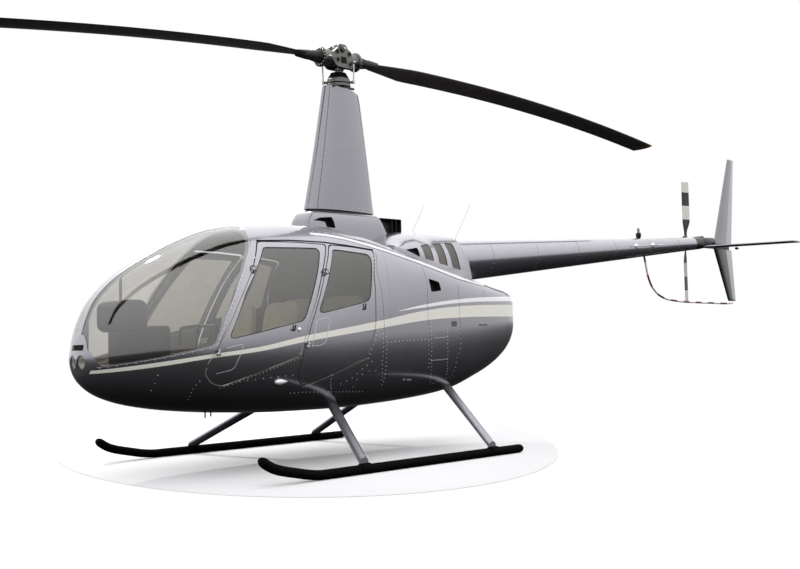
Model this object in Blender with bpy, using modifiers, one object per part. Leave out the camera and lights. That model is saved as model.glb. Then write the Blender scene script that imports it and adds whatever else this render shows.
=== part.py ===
"""A light five-seat helicopter on skids, as separate parts.

Units are metres, +Z is up, the nose points along +X and the port side is +Y.
Shapes are worked out from the foot of the rotor mast's axis on the ground, and
the empty "mast_foot" carries them all, so that the whole part is centred on X.
"""

import math

import bmesh
import bpy
from mathutils import Matrix, Vector

# Place of the mast's axis along X, which centres the part between blade tip and fin.
MAST_X = 0.8405

# Fuselage pod: its ends and the control points (x, value) of its section curves.
POD_NOSE = 2.425
POD_TAIL = -1.85
POD_TOP = ((2.425, 0.90), (2.40, 1.03), (2.32, 1.25), (2.20, 1.395), (2.05, 1.513), (1.71, 1.70),
           (1.35, 1.835), (1.06, 1.885), (0.80, 1.905), (0.50, 1.905), (0.25, 1.86), (-0.30, 1.69),
           (-0.60, 1.61), (-1.00, 1.52), (-1.40, 1.44), (-1.70, 1.39), (-1.80, 1.35), (-1.85, 1.27))
POD_BOTTOM = ((2.425, 0.84), (2.40, 0.74), (2.33, 0.655), (2.20, 0.58), (2.00, 0.52), (1.70, 0.47),
              (1.30, 0.433), (0.80, 0.41), (0.30, 0.405), (-0.20, 0.42), (-0.60, 0.445),
              (-0.95, 0.485), (-1.25, 0.57), (-1.50, 0.66), (-1.70, 0.78), (-1.80, 0.90), (-1.85, 1.04))
POD_MIDDLE = ((2.425, 0.87), (2.00, 0.92), (1.50, 0.94), (1.00, 0.97), (0.50, 1.00), (-0.50, 1.06),
              (-1.00, 1.10), (-1.85, 1.16))
POD_HALF_WIDTH = ((2.425, 0.03), (2.418, 0.09), (2.395, 0.17), (2.34, 0.265), (2.25, 0.365),
                  (2.10, 0.475), (1.90, 0.573), (1.60, 0.665), (1.30, 0.715), (1.00, 0.735),
                  (0.50, 0.737), (0.10, 0.73), (-0.30, 0.705), (-0.70, 0.665), (-1.10, 0.60),
                  (-1.50, 0.51), (-1.70, 0.44), (-1.80, 0.36), (-1.85, 0.25))
POD_ROUND_ABOVE = ((2.425, 2.0), (2.00, 2.1), (1.40, 2.25), (0.80, 2.6), (0.40, 3.2), (0.00, 4.5),
                   (-0.40, 6.0), (-1.85, 6.5))
POD_ROUND_BELOW = ((2.425, 2.0), (2.00, 2.2), (1.40, 2.5), (0.50, 2.8), (-0.50, 2.8), (-1.85, 2.8))
POD_STATIONS = 30
POD_POINTS = 32

# Walls and clearances.
WALL = 0.030
PANE = 0.006
SEAT_GAP = 0.0003
DOOR_GAP = 0.0040
FRAME_GAP = 0.0030
DOOR_RIM_DEPTH = 0.008
DOOR_RIM_WIDTH = 0.018

# Where the skin is split into panels.
TUB_TOP_Z = 1.00
CABIN_REAR_X = 0.12

# Side outlines (x, z) of doors, their windows and the windscreen.
FRONT_DOOR = ((1.207, 1.719), (1.343, 1.502), (1.514, 1.236), (1.655, 0.978), (1.747, 0.821),
              (1.757, 0.745), (1.693, 0.680), (1.617, 0.655), (1.343, 0.752), (1.028, 0.855),
              (0.946, 1.081), (0.759, 1.489), (0.636, 1.712), (0.900, 1.722))
REAR_DOOR = ((0.612, 1.711), (0.735, 1.489), (0.922, 1.081), (1.004, 0.855), (1.033, 0.726),
             (1.000, 0.657), (0.940, 0.632), (0.669, 0.727), (0.367, 0.832), (0.278, 1.066),
             (0.264, 1.480), (0.205, 1.678), (0.420, 1.700))
FRONT_WINDOW = ((1.186, 1.674), (1.441, 1.321), (1.593, 1.012), (1.574, 0.990), (0.999, 1.108),
                (0.968, 1.134), (0.722, 1.651), (0.735, 1.679))
REAR_WINDOW = ((0.599, 1.674), (0.842, 1.190), (0.812, 1.169), (0.359, 1.259), (0.323, 1.292),
               (0.254, 1.608), (0.277, 1.645))
WINDSCREEN = ((2.60, 1.060), (2.393, 1.055), (2.405, 0.936), (2.364, 0.825), (2.057, 0.877),
              (1.690, 0.950), (1.605, 1.160), (1.475, 1.398), (1.360, 1.581), (1.255, 1.728),
              (1.180, 1.860), (1.170, 2.10), (2.60, 2.10))
WINDSCREEN_POST = 0.018

# Door hinges: the skin points (x, y, z) that each axis passes, and how far outside it lies.
FRONT_HINGE = ((1.345, 0.590, 1.502), (1.693, 0.642, 0.897))
REAR_HINGE = ((0.738, 0.676, 1.490), (0.974, 0.735, 0.931))
HINGE_OUT = 0.032
HINGE_RADIUS = 0.010
HINGE_LENGTH = 0.022
HINGE_REACH = 0.021
FIXED_REACH = 0.015

# Engine cowling: (x, value) curves of crown height, crown and foot half-widths and roundness.
COWL_CROWN = ((-0.10, 1.740), (-0.20, 1.810), (-0.32, 1.870), (-0.45, 1.900), (-0.69, 1.915),
              (-1.27, 1.895), (-1.70, 1.86))
COWL_FLAT = ((-0.10, 0.16), (-0.69, 0.15), (-1.30, 0.10), (-1.70, 0.10))
COWL_FOOT = ((-0.10, 0.560), (-0.40, 0.575), (-0.70, 0.500), (-1.00, 0.385), (-1.30, 0.285),
             (-1.70, 0.250))
COWL_POWER = ((-0.10, 0.95), (-0.60, 0.95), (-1.00, 0.70), (-1.30, 0.50), (-1.70, 0.50))
COWL_FRONT = -0.10
COWL_BACK = -1.68
COWL_STATIONS = 16
COWL_POINTS = 9
COWL_TUCK = 0.02
COWL_DROP = 0.12
COWL_WALL = 0.012
COWL_REAR_CUT = ((-1.06, 1.98), (-1.15, 1.85), (-1.29, 1.667), (-1.335, 1.50), (-1.335, 1.20), (-2.00, 1.20),
                 (-2.00, 2.10))
COWL_REAR_WALL = 0.030

# Mast base on the roof: (x, value) curves of crown height and half-width, and its roundness.
BASE_CROWN = ((0.470, 1.890), (0.445, 1.985), (0.390, 2.045), (-0.300, 2.055), (-0.345, 2.035),
              (-0.400, 1.960), (-0.460, 1.905), (-0.560, 1.880))
BASE_HALF = ((0.470, 0.085), (0.440, 0.130), (0.350, 0.160), (0.00, 0.175), (-0.300, 0.165),
             (-0.450, 0.150), (-0.560, 0.130))
BASE_FRONT = 0.470
BASE_BACK = -0.560
BASE_DEPTH = 0.10
BASE_FLARE = 0.18
BASE_SQUARE = 5.0
BASE_STATIONS = 16
BASE_POINTS = 8

# Openings of the cowling as side outlines (x, z), and the outlet box behind the mast.
INTAKE = ((0.424, 1.956), (0.363, 1.982), (0.236, 1.996), (0.222, 1.952), (0.215, 1.900),
          (0.308, 1.903), (0.298, 1.946))
VENT = ((-0.221, 1.708), (-0.369, 1.734), (-0.381, 1.652))
LOUVRES = (
    ((-0.422, 1.758), (-0.569, 1.777), (-0.586, 1.626), (-0.443, 1.638)),
    ((-0.654, 1.787), (-0.806, 1.803), (-0.851, 1.600), (-0.680, 1.613)),
    ((-0.876, 1.812), (-1.031, 1.823), (-1.125, 1.578), (-0.952, 1.589)))
LOUVRE_DEPTH = 0.006
OUTLET_BOX = ((-0.60, -0.12, 1.875), (-0.35, 0.12, 2.030))
OUTLET_PLATE = 0.012
OUTLET_CORE = 0.035

# Nose: lamp bores and the air slot between them.
LAMP_Y = 0.060
LAMP_Z = 0.849
LAMP_RADIUS = 0.050
LAMP_SUNK = 0.002
LAMP_BACK_X = 2.33
NOSE_SLOT = ((-0.085, 0.932), (0.085, 0.972))
NOSE_SLOT_BACK_X = 2.398

# Air scoop in the body's side below the cowling, as a side outline (x, z).
SIDE_SCOOP = ((-0.359, 1.463), (-0.493, 1.437), (-0.516, 1.365), (-0.383, 1.350))

# Mast, swashplate and main rotor.
MAST_COLLAR = (2.00, 2.068)
COLLAR_INSET = 0.03
COLLAR_NARROWING = 0.02
MAST_FAIRING = ((2.0683, 0.39, -0.37, 0.105), (2.60, 0.275, -0.30, 0.088), (3.15, 0.17, -0.22, 0.070))
HUB_Z = 3.40
HUB_HALF_LENGTH = 0.26
HUB_CHEEK = ((-0.110, 0.050), (-0.055, 0.085), (-0.045, 0.122), (0.040, 0.122), (0.055, 0.085),
             (0.100, 0.065),
             (0.113, -0.030), (0.098, -0.088), (-0.075, -0.080), (-0.112, -0.045))
HUB_CHEEK_HALF = 0.072
HUB_SPINDLE_RADIUS = 0.052
HUB_BARREL = (0.095, 0.207, 0.071)
HUB_FLANGE = (0.191, 0.211, 0.084)
SWASHPLATE_Z = (3.1503, 3.1850, 3.2250)
SWASHPLATE_RADII = (0.105, 0.100)
SWASHPLATE_ARMS = (math.radians(38.0), math.radians(158.0), math.radians(278.0))
SWASHPLATE_ARM = (0.08, 0.142, 0.011)
BORE_REACH = 0.05
BOOT_OVERLAP = 0.004
PITCH_ARM_RADIUS = 0.012
PITCH_ARM_START = 0.6
PITCH_LINK_RADIUS = 0.008
SHAFT_FOOT = 3.1506
SHAFT_TOP = 0.02
TEETER_PIN = (0.080, 0.098, 0.026)
HUB_CAP = (0.13, 0.045, 0.030)
BOOT_TOP_Z = 3.268
BOOT_RADII = (0.085, 0.070)
PITCH_LINK = (0.100, 0.092, 3.205, 3.375)
ROTOR_RADIUS = 5.03
BLADE_AZIMUTH = math.radians(182.2)
BLADE_TEETER = 0.050
BLADE_DROOP = 0.0168
BLADE_CHORD = 0.26
SECTION_AXIS = 0.27
BLADE_ROOT = 0.42
BLADE_STATIONS = 15
BLADE_THICKNESS = 0.11
BLADE_PITCH = {"aft": (12.0, 6.0), "fore": (2.0, 1.8)}
GRIP_OVERLAP = 0.03
GRIP_RADII = (0.050, 0.034)
SHAFT_RADIUS = 0.038
BEARING_GAP = 0.0012

# Tail boom: ends (x, z) and radii; the gearbox goes on along the same line.
BOOM_START = (-1.08, 1.668)
BOOM_END = (-5.80, 2.076)
BOOM_RADII = (0.2087, 0.0724)
GEARBOX_END = -6.10
GEARBOX_RADII = (0.071, 0.058)
GEARBOX_CASE_RADII = (0.046, 0.040)
GEARBOX_CASE_LENGTH = 0.085

# Tail rotor: centre, radius, blade root, chords, section and pitch; shaft, and half sizes of its bar.
TAIL_ROTOR = (-5.88, -0.245, 2.125)
TAIL_ROTOR_RADIUS = 0.762
TAIL_BLADE_ROOT = 0.0703
TAIL_BLADE_CHORDS = (0.05, 0.125)
TAIL_BLADE_THICKNESS = 0.11
TAIL_BLADE_PITCH = math.radians(14.0)
TAIL_SHAFT = (0.0847, -0.03, 0.020)
TAIL_BAR = (0.025, 0.020, 0.070)

# Fins as (front x, rear x) at the mount and (front x, rear x, z) at their tips; plate that carries them.
FIN_ROOT = (-6.145, -6.58)
FIN_TOP = (-6.56, -6.71, 3.21)
FIN_BOTTOM = (-6.45, -6.64, 1.36)
FIN_THICKNESS = (0.11, 0.12)
FIN_MOUNT = ((-6.50, -0.014, 2.020), (-6.00, 0.014, 2.085))

# Stabiliser: its height, and (front x, rear x, y) at root and tip.
STABILISER_Z = 2.030
STABILISER = ((-5.80, -6.10, 0.040), (-6.12, -6.40, 1.05))
STABILISER_THICKNESS = 0.12

# Beacon: foot x and z, and (top z, radius) of its base and glass.
BEACON = (-4.48, 2.00)
BEACON_STEPS = ((2.133, 0.030), (2.190, 0.017))

# Landing gear: skid tubes and the legs from belly to skid.
SKID_Y = 1.15
SKID_RADIUS = 0.035
SKID_PATH = ((-0.95, 0.035), (0.90, 0.035), (1.20, 0.037), (1.42, 0.075), (1.585, 0.118), (1.700, 0.187))
FRONT_LEG = ((0.50, 0.45, 0.46), (0.785, 1.15, 0.085))
REAR_LEG = ((-0.80, 0.45, 0.53), (-0.590, 1.15, 0.085))
LEG_SIZE = (0.044, 0.0338)

# Boxes in the cabin, kept inside its room: floor, bulkhead, the console's parts and the seat boxes.
CABIN_FLOOR = ((0.1603, -0.90, 0.545), (2.15, 0.90, 0.565))
CABIN_BULKHEAD = ((0.130, -0.90, 0.40), (0.160, 0.90, 2.00))
CONSOLE = ((1.76, -0.16, 0.5653), (2.02, 0.16, 1.10))
CONSOLE_NECK = ((1.96, -0.14, 0.70), (2.12, 0.14, 1.12))
CONSOLE_HOOD = ((1.985, -0.25, 1.06), (2.165, 0.25, 1.285))
FRONT_SEAT_BOX = ((0.86, -0.56, 0.5653), (1.36, 0.56, 0.78))
REAR_SEAT_BOX = ((0.17, -0.60, 0.5653), (0.62, 0.60, 0.80))

# Controls: centre lines and radii.
STICK = ((1.50, 0.0, 0.5653), (1.50, 0.0, 0.80), (1.44, 0.0, 1.08))
STICK_RADIUS = 0.014
STICK_BAR = ((1.44, -0.26, 1.08), (1.44, 0.26, 1.08))
STICK_BAR_RADIUS = 0.011
PEDALS = ((1.70, 0.20, 0.5653), (1.70, 0.20, 0.72), (1.70, 0.30, 0.72), (1.70, 0.30, 0.5653))
PEDAL_RADIUS = 0.010
LEVER = ((0.92, 0.0, 0.7803), (0.92, 0.0, 0.82), (1.22, 0.0, 0.98))
LEVER_RADIUS = 0.013

# Engine block, and the mount that carries it on the rear bulkhead.
ENGINE_BLOCK = ((-1.15, -0.28, 0.70), (-0.35, 0.28, 1.25))
ENGINE_MOUNT = ((-0.3497, -0.10, 0.78), (0.1297, 0.10, 0.90))

# Seats as side outlines (x, z), and how far they reach across.
FRONT_SEAT = ((1.38, 0.7803), (1.39, 0.87), (1.36, 0.90), (1.02, 0.88), (0.90, 1.27), (0.83, 1.295),
              (0.785, 1.265), (0.875, 0.7803))
FRONT_SEAT_SPAN = (0.06, 0.54)
REAR_SEAT = ((0.64, 0.8003), (0.65, 0.88), (0.62, 0.91), (0.34, 0.90), (0.27, 1.40), (0.21, 1.42),
             (0.1653, 1.40), (0.1653, 0.8003))
REAR_SEAT_HALF = 0.58

# Aerials on the spine: foot and tip (x, z), and their radii at foot and tip.
FRONT_AERIAL = ((-0.820, 1.900), (-1.006, 2.204))
REAR_AERIAL = ((-1.395, 1.885), (-1.633, 2.250))
AERIAL_RADII = (0.0045, 0.0025)
AERIAL_BASE = (0.018, 0.035)

# Tail rotor guard: a tube's centre line from the boom round under the tail rotor to the lower fin.
GUARD_PATH = ((-4.645, -0.03, 1.960), (-4.655, -0.05, 1.885), (-4.685, -0.055, 1.795), (-4.717, -0.06, 1.696),
              (-4.750, -0.06, 1.610), (-4.806, -0.06, 1.525), (-4.885, -0.06, 1.461), (-4.955, -0.06, 1.420),
              (-5.120, -0.06, 1.375), (-5.400, -0.06, 1.350), (-5.750, -0.06, 1.340), (-6.150, -0.05, 1.335),
              (-6.450, -0.03, 1.330), (-6.560, 0.0, 1.340))
GUARD_RADIUS = 0.012

COLLECTION = "helicopter"


def curve(points):
    """A smooth function through (x, value) points that never overshoots them."""
    spots = sorted(points)
    xs = [p[0] for p in spots]
    ys = [p[1] for p in spots]
    steps = [b - a for a, b in zip(xs, xs[1:])]
    slopes = [(b - a) / h for a, b, h in zip(ys, ys[1:], steps)]
    tangents = [slopes[0]]
    for i in range(1, len(xs) - 1):
        if slopes[i - 1] * slopes[i] <= 0.0:
            tangents.append(0.0)
            continue
        first = 2.0 * steps[i] + steps[i - 1]
        second = steps[i] + 2.0 * steps[i - 1]
        tangents.append((first + second) / (first / slopes[i - 1] + second / slopes[i]))
    tangents.append(slopes[-1])

    def value(x):
        """The value at x, held at the ends."""
        x = min(max(x, xs[0]), xs[-1])
        i = 0
        while i < len(xs) - 2 and x > xs[i + 1]:
            i += 1
        h = steps[i]
        s = (x - xs[i]) / h
        return ((1 + 2 * s) * (1 - s) ** 2 * ys[i] + s * (1 - s) ** 2 * h * tangents[i]
                + s * s * (3 - 2 * s) * ys[i + 1] + s * s * (s - 1) * h * tangents[i + 1])

    return value


POD_TOP_AT = curve(POD_TOP)
POD_BOTTOM_AT = curve(POD_BOTTOM)
POD_MIDDLE_AT = curve(POD_MIDDLE)
POD_WIDTH_AT = curve(POD_HALF_WIDTH)
POD_ABOVE_AT = curve(POD_ROUND_ABOVE)
POD_BELOW_AT = curve(POD_ROUND_BELOW)
COWL_CROWN_AT = curve(COWL_CROWN)
COWL_FLAT_AT = curve(COWL_FLAT)
COWL_FOOT_AT = curve(COWL_FOOT)
COWL_POWER_AT = curve(COWL_POWER)
BASE_CROWN_AT = curve(BASE_CROWN)
BASE_HALF_AT = curve(BASE_HALF)


def power(value, exponent):
    """A signed power, for superellipse sections."""
    return math.copysign(abs(value) ** exponent, value)


def pod_ring(x):
    """One superellipse section of the pod, rounder below than above."""
    middle = POD_MIDDLE_AT(x)
    ring = []
    for i in range(POD_POINTS):
        angle = 2.0 * math.pi * (i + 0.5) / POD_POINTS
        c = math.cos(angle)
        s = math.sin(angle)
        above = s > 0.0
        n = POD_ABOVE_AT(x) if above else POD_BELOW_AT(x)
        height = POD_TOP_AT(x) - middle if above else middle - POD_BOTTOM_AT(x)
        ring.append((x, POD_WIDTH_AT(x) * power(c, 2.0 / n), middle + height * power(s, 2.0 / n)))
    return ring


def cowl_ring(x, margin):
    """One section of the cowling: flat crown, rounded shoulders, straight skirt into the pod."""
    crown = COWL_CROWN_AT(x) - margin
    flat = COWL_FLAT_AT(x)
    foot = COWL_FOOT_AT(x) - margin
    skirt = POD_TOP_AT(x) - COWL_TUCK
    bend = COWL_POWER_AT(x)
    ring = [(x, foot, skirt - COWL_DROP)]
    for i in range(COWL_POINTS + 1):
        angle = 0.5 * math.pi * i / COWL_POINTS
        ring.append((x, flat + (foot - flat) * power(math.cos(angle), bend),
                     skirt + (crown - skirt) * power(math.sin(angle), bend)))
    return ring + [(x, -y, z) for _, y, z in reversed(ring)]


def base_ring(x, margin):
    """One section of the mast's base: nearly square, flared towards its foot."""
    foot = POD_TOP_AT(x) - BASE_DEPTH
    crown = BASE_CROWN_AT(x) - margin
    half = BASE_HALF_AT(x) - margin
    ring = []
    for i in range(BASE_POINTS + 1):
        angle = 0.5 * math.pi * i / BASE_POINTS
        rise = power(math.sin(angle), 2.0 / BASE_SQUARE)
        width = half * (1.0 + BASE_FLARE * (1.0 - rise))
        ring.append((x, width * power(math.cos(angle), 2.0 / BASE_SQUARE), foot + (crown - foot) * rise))
    return ring + [(x, -y, z) for _, y, z in reversed(ring[:-1])]


# Building blocks

def collection(name):
    """A collection of that name, linked to the scene."""
    found = bpy.data.collections.get(name)
    if found is None:
        found = bpy.data.collections.new(name)
        bpy.context.scene.collection.children.link(found)
    return found


def material(name, colour, roughness, metallic):
    """A Principled BSDF material, made once."""
    found = bpy.data.materials.get(name)
    if found is not None:
        return found
    made = bpy.data.materials.new(name)
    made.use_nodes = True
    shader = made.node_tree.nodes["Principled BSDF"]
    shader.inputs["Base Color"].default_value = (*colour, 1.0)
    shader.inputs["Roughness"].default_value = roughness
    shader.inputs["Metallic"].default_value = metallic
    return made


def paint():
    """Metallic paint of the skins."""
    return material("charcoal_metallic_paint", (0.16, 0.155, 0.165), 0.3, 0.7)


def glass():
    """Tinted acrylic of doors and windscreen."""
    return material("tinted_acrylic", (0.35, 0.35, 0.33), 0.05, 0.0)


def black():
    """Satin black of trim, skids and controls."""
    return material("satin_black", (0.02, 0.02, 0.021), 0.5, 0.0)


def leather():
    """Cream leather of the seats."""
    return material("cream_leather", (0.62, 0.58, 0.48), 0.55, 0.0)


def grey_metal():
    """Bare aluminium."""
    return material("bare_aluminium", (0.55, 0.55, 0.56), 0.35, 1.0)


def blade_paint():
    """Dark paint of the rotor blades."""
    return material("dark_blade_paint", (0.09, 0.08, 0.075), 0.5, 0.1)


def white():
    """White enamel of small parts."""
    return material("white_enamel", (0.8, 0.8, 0.78), 0.35, 0.0)


def place(obj, parent, finish=None, cutter=False):
    """Put an object in its collection, under its parent, with its material."""
    target = collection("cutters" if cutter else COLLECTION)
    for old in list(obj.users_collection):
        old.objects.unlink(obj)
    target.objects.link(obj)
    obj.parent = parent
    obj.matrix_parent_inverse = Matrix.Translation(-parent.location) if parent.parent else Matrix.Identity(4)
    if cutter:
        obj.hide_render = True
        obj.display_type = 'WIRE'
    if finish is not None:
        obj.data.materials.clear()
        obj.data.materials.append(finish)
    return obj


def axis_empty(name, at, root):
    """An empty on a joint's axis, for the pieces that turn about it."""
    pivot = bpy.data.objects.new(name, None)
    collection(COLLECTION).objects.link(pivot)
    pivot.parent = root
    pivot.location = at
    return pivot


def loft(name, rings, triangles=False):
    """A closed solid through rings of equal point count, ends capped."""
    mesh = bpy.data.meshes.new(name)
    form = bmesh.new()
    rows = [[form.verts.new(point) for point in ring] for ring in rings]
    count = len(rows[0])
    for low, high in zip(rows, rows[1:]):
        for i in range(count):
            j = (i + 1) % count
            form.faces.new((low[i], low[j], high[j], high[i]))
    form.faces.new(list(reversed(rows[0])))
    form.faces.new(rows[-1])
    bmesh.ops.recalc_face_normals(form, faces=form.faces)
    if triangles:
        bmesh.ops.triangulate(form, faces=form.faces)
    form.to_mesh(mesh)
    form.free()
    return bpy.data.objects.new(name, mesh)


def box(name, low, high):
    """A box between two corners."""
    mesh = bpy.data.meshes.new(name)
    form = bmesh.new()
    size = [b - a for a, b in zip(low, high)]
    middle = [(a + b) / 2.0 for a, b in zip(low, high)]
    bmesh.ops.create_cube(form, size=1.0)
    bmesh.ops.scale(form, vec=size, verts=form.verts)
    bmesh.ops.translate(form, vec=middle, verts=form.verts)
    form.to_mesh(mesh)
    form.free()
    return bpy.data.objects.new(name, mesh)


def rod(name, start, end, radius, end_radius=None, sides=16):
    """A cylinder or cone from one point to another."""
    start = Vector(start)
    along = Vector(end) - start
    mesh = bpy.data.meshes.new(name)
    form = bmesh.new()
    turn = along.to_track_quat('Z', 'Y').to_matrix().to_4x4()
    shift = Matrix.Translation(start + along / 2.0)
    bmesh.ops.create_cone(form, cap_ends=True, segments=sides, radius1=radius,
                          radius2=radius if end_radius is None else end_radius,
                          depth=along.length, matrix=shift @ turn)
    form.to_mesh(mesh)
    form.free()
    return bpy.data.objects.new(name, mesh)


def prism(name, outline, near, far, axis='Y'):
    """A flat outline (x, z) drawn out along Y, or (y, z) along X, between two planes."""
    if axis == 'Y':
        rings = [[(a, depth, b) for a, b in outline] for depth in (near, far)]
    else:
        rings = [[(depth, a, b) for a, b in outline] for depth in (near, far)]
    return loft(name, rings)


def tube(name, points, radius, resolution=3):
    """A round tube along points, as a mesh with welded caps."""
    data = bpy.data.curves.new(name, 'CURVE')
    data.dimensions = '3D'
    data.bevel_depth = radius
    data.bevel_resolution = resolution
    data.use_fill_caps = True
    line = data.splines.new('POLY')
    line.points.add(len(points) - 1)
    for point, place_at in zip(line.points, points):
        point.co = (*place_at, 1.0)
    guide = bpy.data.objects.new(name + "_guide", data)
    bpy.context.scene.collection.objects.link(guide)
    bpy.context.view_layer.update()
    graph = bpy.context.evaluated_depsgraph_get()
    mesh = bpy.data.meshes.new_from_object(guide.evaluated_get(graph))
    mesh.name = name
    form = bmesh.new()
    form.from_mesh(mesh)
    bmesh.ops.remove_doubles(form, verts=form.verts, dist=0.0001)
    bmesh.ops.recalc_face_normals(form, faces=form.faces)
    form.to_mesh(mesh)
    form.free()
    bpy.data.objects.remove(guide)
    return bpy.data.objects.new(name, mesh)


def combine(obj, other, operation):
    """A live Boolean with another object, which becomes a cutter."""
    step = obj.modifiers.new(operation.lower(), 'BOOLEAN')
    step.operation = operation
    step.object = other
    step.solver = 'EXACT'
    return obj


def inset(outline, distance):
    """A closed outline moved inwards by a distance, outwards if it is negative."""
    area = sum(a[0] * b[1] - b[0] * a[1] for a, b in zip(outline, outline[1:] + outline[:1]))
    side = distance if area > 0.0 else -distance
    lines = []
    for a, b in zip(outline, outline[1:] + outline[:1]):
        length = math.hypot(b[0] - a[0], b[1] - a[1])
        nx = -(b[1] - a[1]) / length
        nz = (b[0] - a[0]) / length
        lines.append(((a[0] + nx * side, a[1] + nz * side), (b[0] - a[0], b[1] - a[1])))
    moved = []
    for (p, d), (q, e) in zip(lines[-1:] + lines[:-1], lines):
        cross = d[0] * e[1] - d[1] * e[0]
        t = ((q[0] - p[0]) * e[1] - (q[1] - p[1]) * e[0]) / cross
        moved.append((p[0] + d[0] * t, p[1] + d[1] * t))
    return moved


def sided(side):
    """Near and far Y of a cutter that takes one side of the cabin."""
    return (0.25, 1.0) if side > 0 else (-1.0, -0.25)


# The pod and what is cut from it

def pod_solid(name):
    """The whole pod as a closed surface."""
    span = POD_NOSE - POD_TAIL
    rings = []
    for i in range(POD_STATIONS):
        share = (1.0 - math.cos(math.pi * i / (POD_STATIONS - 1))) / 2.0
        rings.append(pod_ring(POD_NOSE - span * share))
    return loft(name, rings, triangles=True)


def pod_shell(name, depth, wall):
    """A wall of the pod between two depths under its surface."""
    shell = pod_solid(name)
    if depth:
        sink = shell.modifiers.new("sink", 'DISPLACE')
        sink.strength = -depth
        sink.mid_level = 0.0
    thick = shell.modifiers.new("wall", 'SOLIDIFY')
    thick.thickness = wall
    thick.offset = -1.0
    return shell


def pod_grown(name, growth):
    """The pod's solid with its skin moved outwards, or inwards if negative."""
    solid = pod_solid(name)
    move = solid.modifiers.new("grow", 'DISPLACE')
    move.strength = growth
    move.mid_level = 0.0
    return solid


def side_cutter(name, outline, side, parent):
    """A cutter that takes a side outline through one side."""
    near, far = sided(side)
    return place(prism(name, outline, near, far), parent, cutter=True)


def build_skin(root):
    """Nose and belly tub, roof with its pillars, and the hollow aft body."""
    openings = []
    for side, word in ((1, "left"), (-1, "right")):
        for door, outline in (("front", FRONT_DOOR), ("rear", REAR_DOOR)):
            openings.append(side_cutter(f"cut_{door}_door_{word}", inset(list(outline), -FRAME_GAP),
                                        side, root))
        near, far = (WINDSCREEN_POST, 1.0) if side > 0 else (-1.0, -WINDSCREEN_POST)
        openings.append(place(prism(f"cut_windscreen_{word}", list(WINDSCREEN), near, far),
                              root, cutter=True))
    regions = {
        "cabin_tub": box("keep_tub", (CABIN_REAR_X, -1.0, 0.2), (2.6, 1.0, TUB_TOP_Z)),
        "cabin_roof": box("keep_roof", (CABIN_REAR_X, -1.0, TUB_TOP_Z + SEAT_GAP), (2.6, 1.0, 2.2)),
        "aft_body": box("keep_aft", (-2.2, -1.0, 0.2), (CABIN_REAR_X - SEAT_GAP, 1.0, 2.2)),
    }
    for name, region in regions.items():
        panel = place(pod_shell(name, 0.0, WALL), root, paint())
        combine(panel, place(region, root, cutter=True), 'INTERSECT')
        if name != "aft_body":
            for opening in openings:
                combine(panel, opening, 'DIFFERENCE')
    (y0, z0), (y1, z1) = NOSE_SLOT
    slot = box("cut_nose_slot", (NOSE_SLOT_BACK_X, y0, z0), (POD_NOSE + 0.1, y1, z1))
    place(slot, root, cutter=True)
    combine(bpy.data.objects["cabin_tub"], slot, 'DIFFERENCE')
    for side, word in ((1, "left"), (-1, "right")):
        scoop = side_cutter(f"cut_side_scoop_{word}", list(SIDE_SCOOP), side, root)
        combine(bpy.data.objects["aft_body"], scoop, 'DIFFERENCE')


def build_nose_lamps(root):
    """Two landing lamps, each a round block in a bore of the nose, flush with the skin."""
    flush = place(pod_grown("fit_lamps", -LAMP_SUNK), root, cutter=True)
    for side, word in ((1, "left"), (-1, "right")):
        front = (POD_NOSE + 0.1, LAMP_Y * side, LAMP_Z)
        back = (LAMP_BACK_X, LAMP_Y * side, LAMP_Z)
        bore = place(rod(f"cut_lamp_{word}", back, front, LAMP_RADIUS, sides=24), root, cutter=True)
        combine(bpy.data.objects["cabin_tub"], bore, 'DIFFERENCE')
        lamp = place(rod(f"nose_lamp_{word}", (LAMP_BACK_X + 0.01, LAMP_Y * side, LAMP_Z), front,
                         LAMP_RADIUS - SEAT_GAP, sides=24), root, white())
        combine(lamp, flush, 'INTERSECT')


def build_windscreen(root):
    """Two curved panes, one each side of the centre post."""
    for side, word in ((1, "left"), (-1, "right")):
        pane = place(pod_shell(f"windscreen_{word}", 0.0, PANE), root, glass())
        edge = WINDSCREEN_POST + SEAT_GAP
        near, far = (edge, 1.0) if side > 0 else (-1.0, -edge)
        region = prism(f"keep_windscreen_{word}", inset(list(WINDSCREEN), SEAT_GAP), near, far)
        combine(pane, place(region, root, cutter=True), 'INTERSECT')


def hinge_frame(points, side):
    """Unit vectors along a hinge (downwards), back along the door and inwards, and its points."""
    top = Vector((points[0][0], points[0][1] * side, points[0][2]))
    bottom = Vector((points[1][0], points[1][1] * side, points[1][2]))
    along = (bottom - top).normalized()
    rough_in = Vector((0.0, -side, 0.0))
    back = along.cross(rough_in).normalized() * side
    if back.x > 0.0:
        back.negate()
    inward = (rough_in - along * rough_in.dot(along)).normalized()
    return along, back, inward, top - inward * HINGE_OUT, bottom - inward * HINGE_OUT


def hinge_leaf(name, at, along, back, inward, reach, root):
    """A knuckle on the hinge's axis with its leaf sunk into the skin."""
    turn = Matrix((back, along, inward)).transposed().to_4x4()
    low = min(0.0, reach)
    high = max(0.0, reach)
    edge = 0.006
    leaf = box(name, (low + (edge if reach > 0 else 0.0), 0.0, -HINGE_RADIUS * 0.7),
               (high - (edge if reach < 0 else 0.0), HINGE_LENGTH, HINGE_OUT + 0.012))
    leaf.data.transform(Matrix.Translation(at) @ turn)
    if turn.determinant() < 0.0:
        leaf.data.flip_normals()
    knuckle = rod(name + "_knuckle", at, at + along * HINGE_LENGTH, HINGE_RADIUS, sides=12)
    place(leaf, root, cutter=True)
    place(knuckle, root, cutter=True)
    return [leaf, knuckle]


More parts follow.
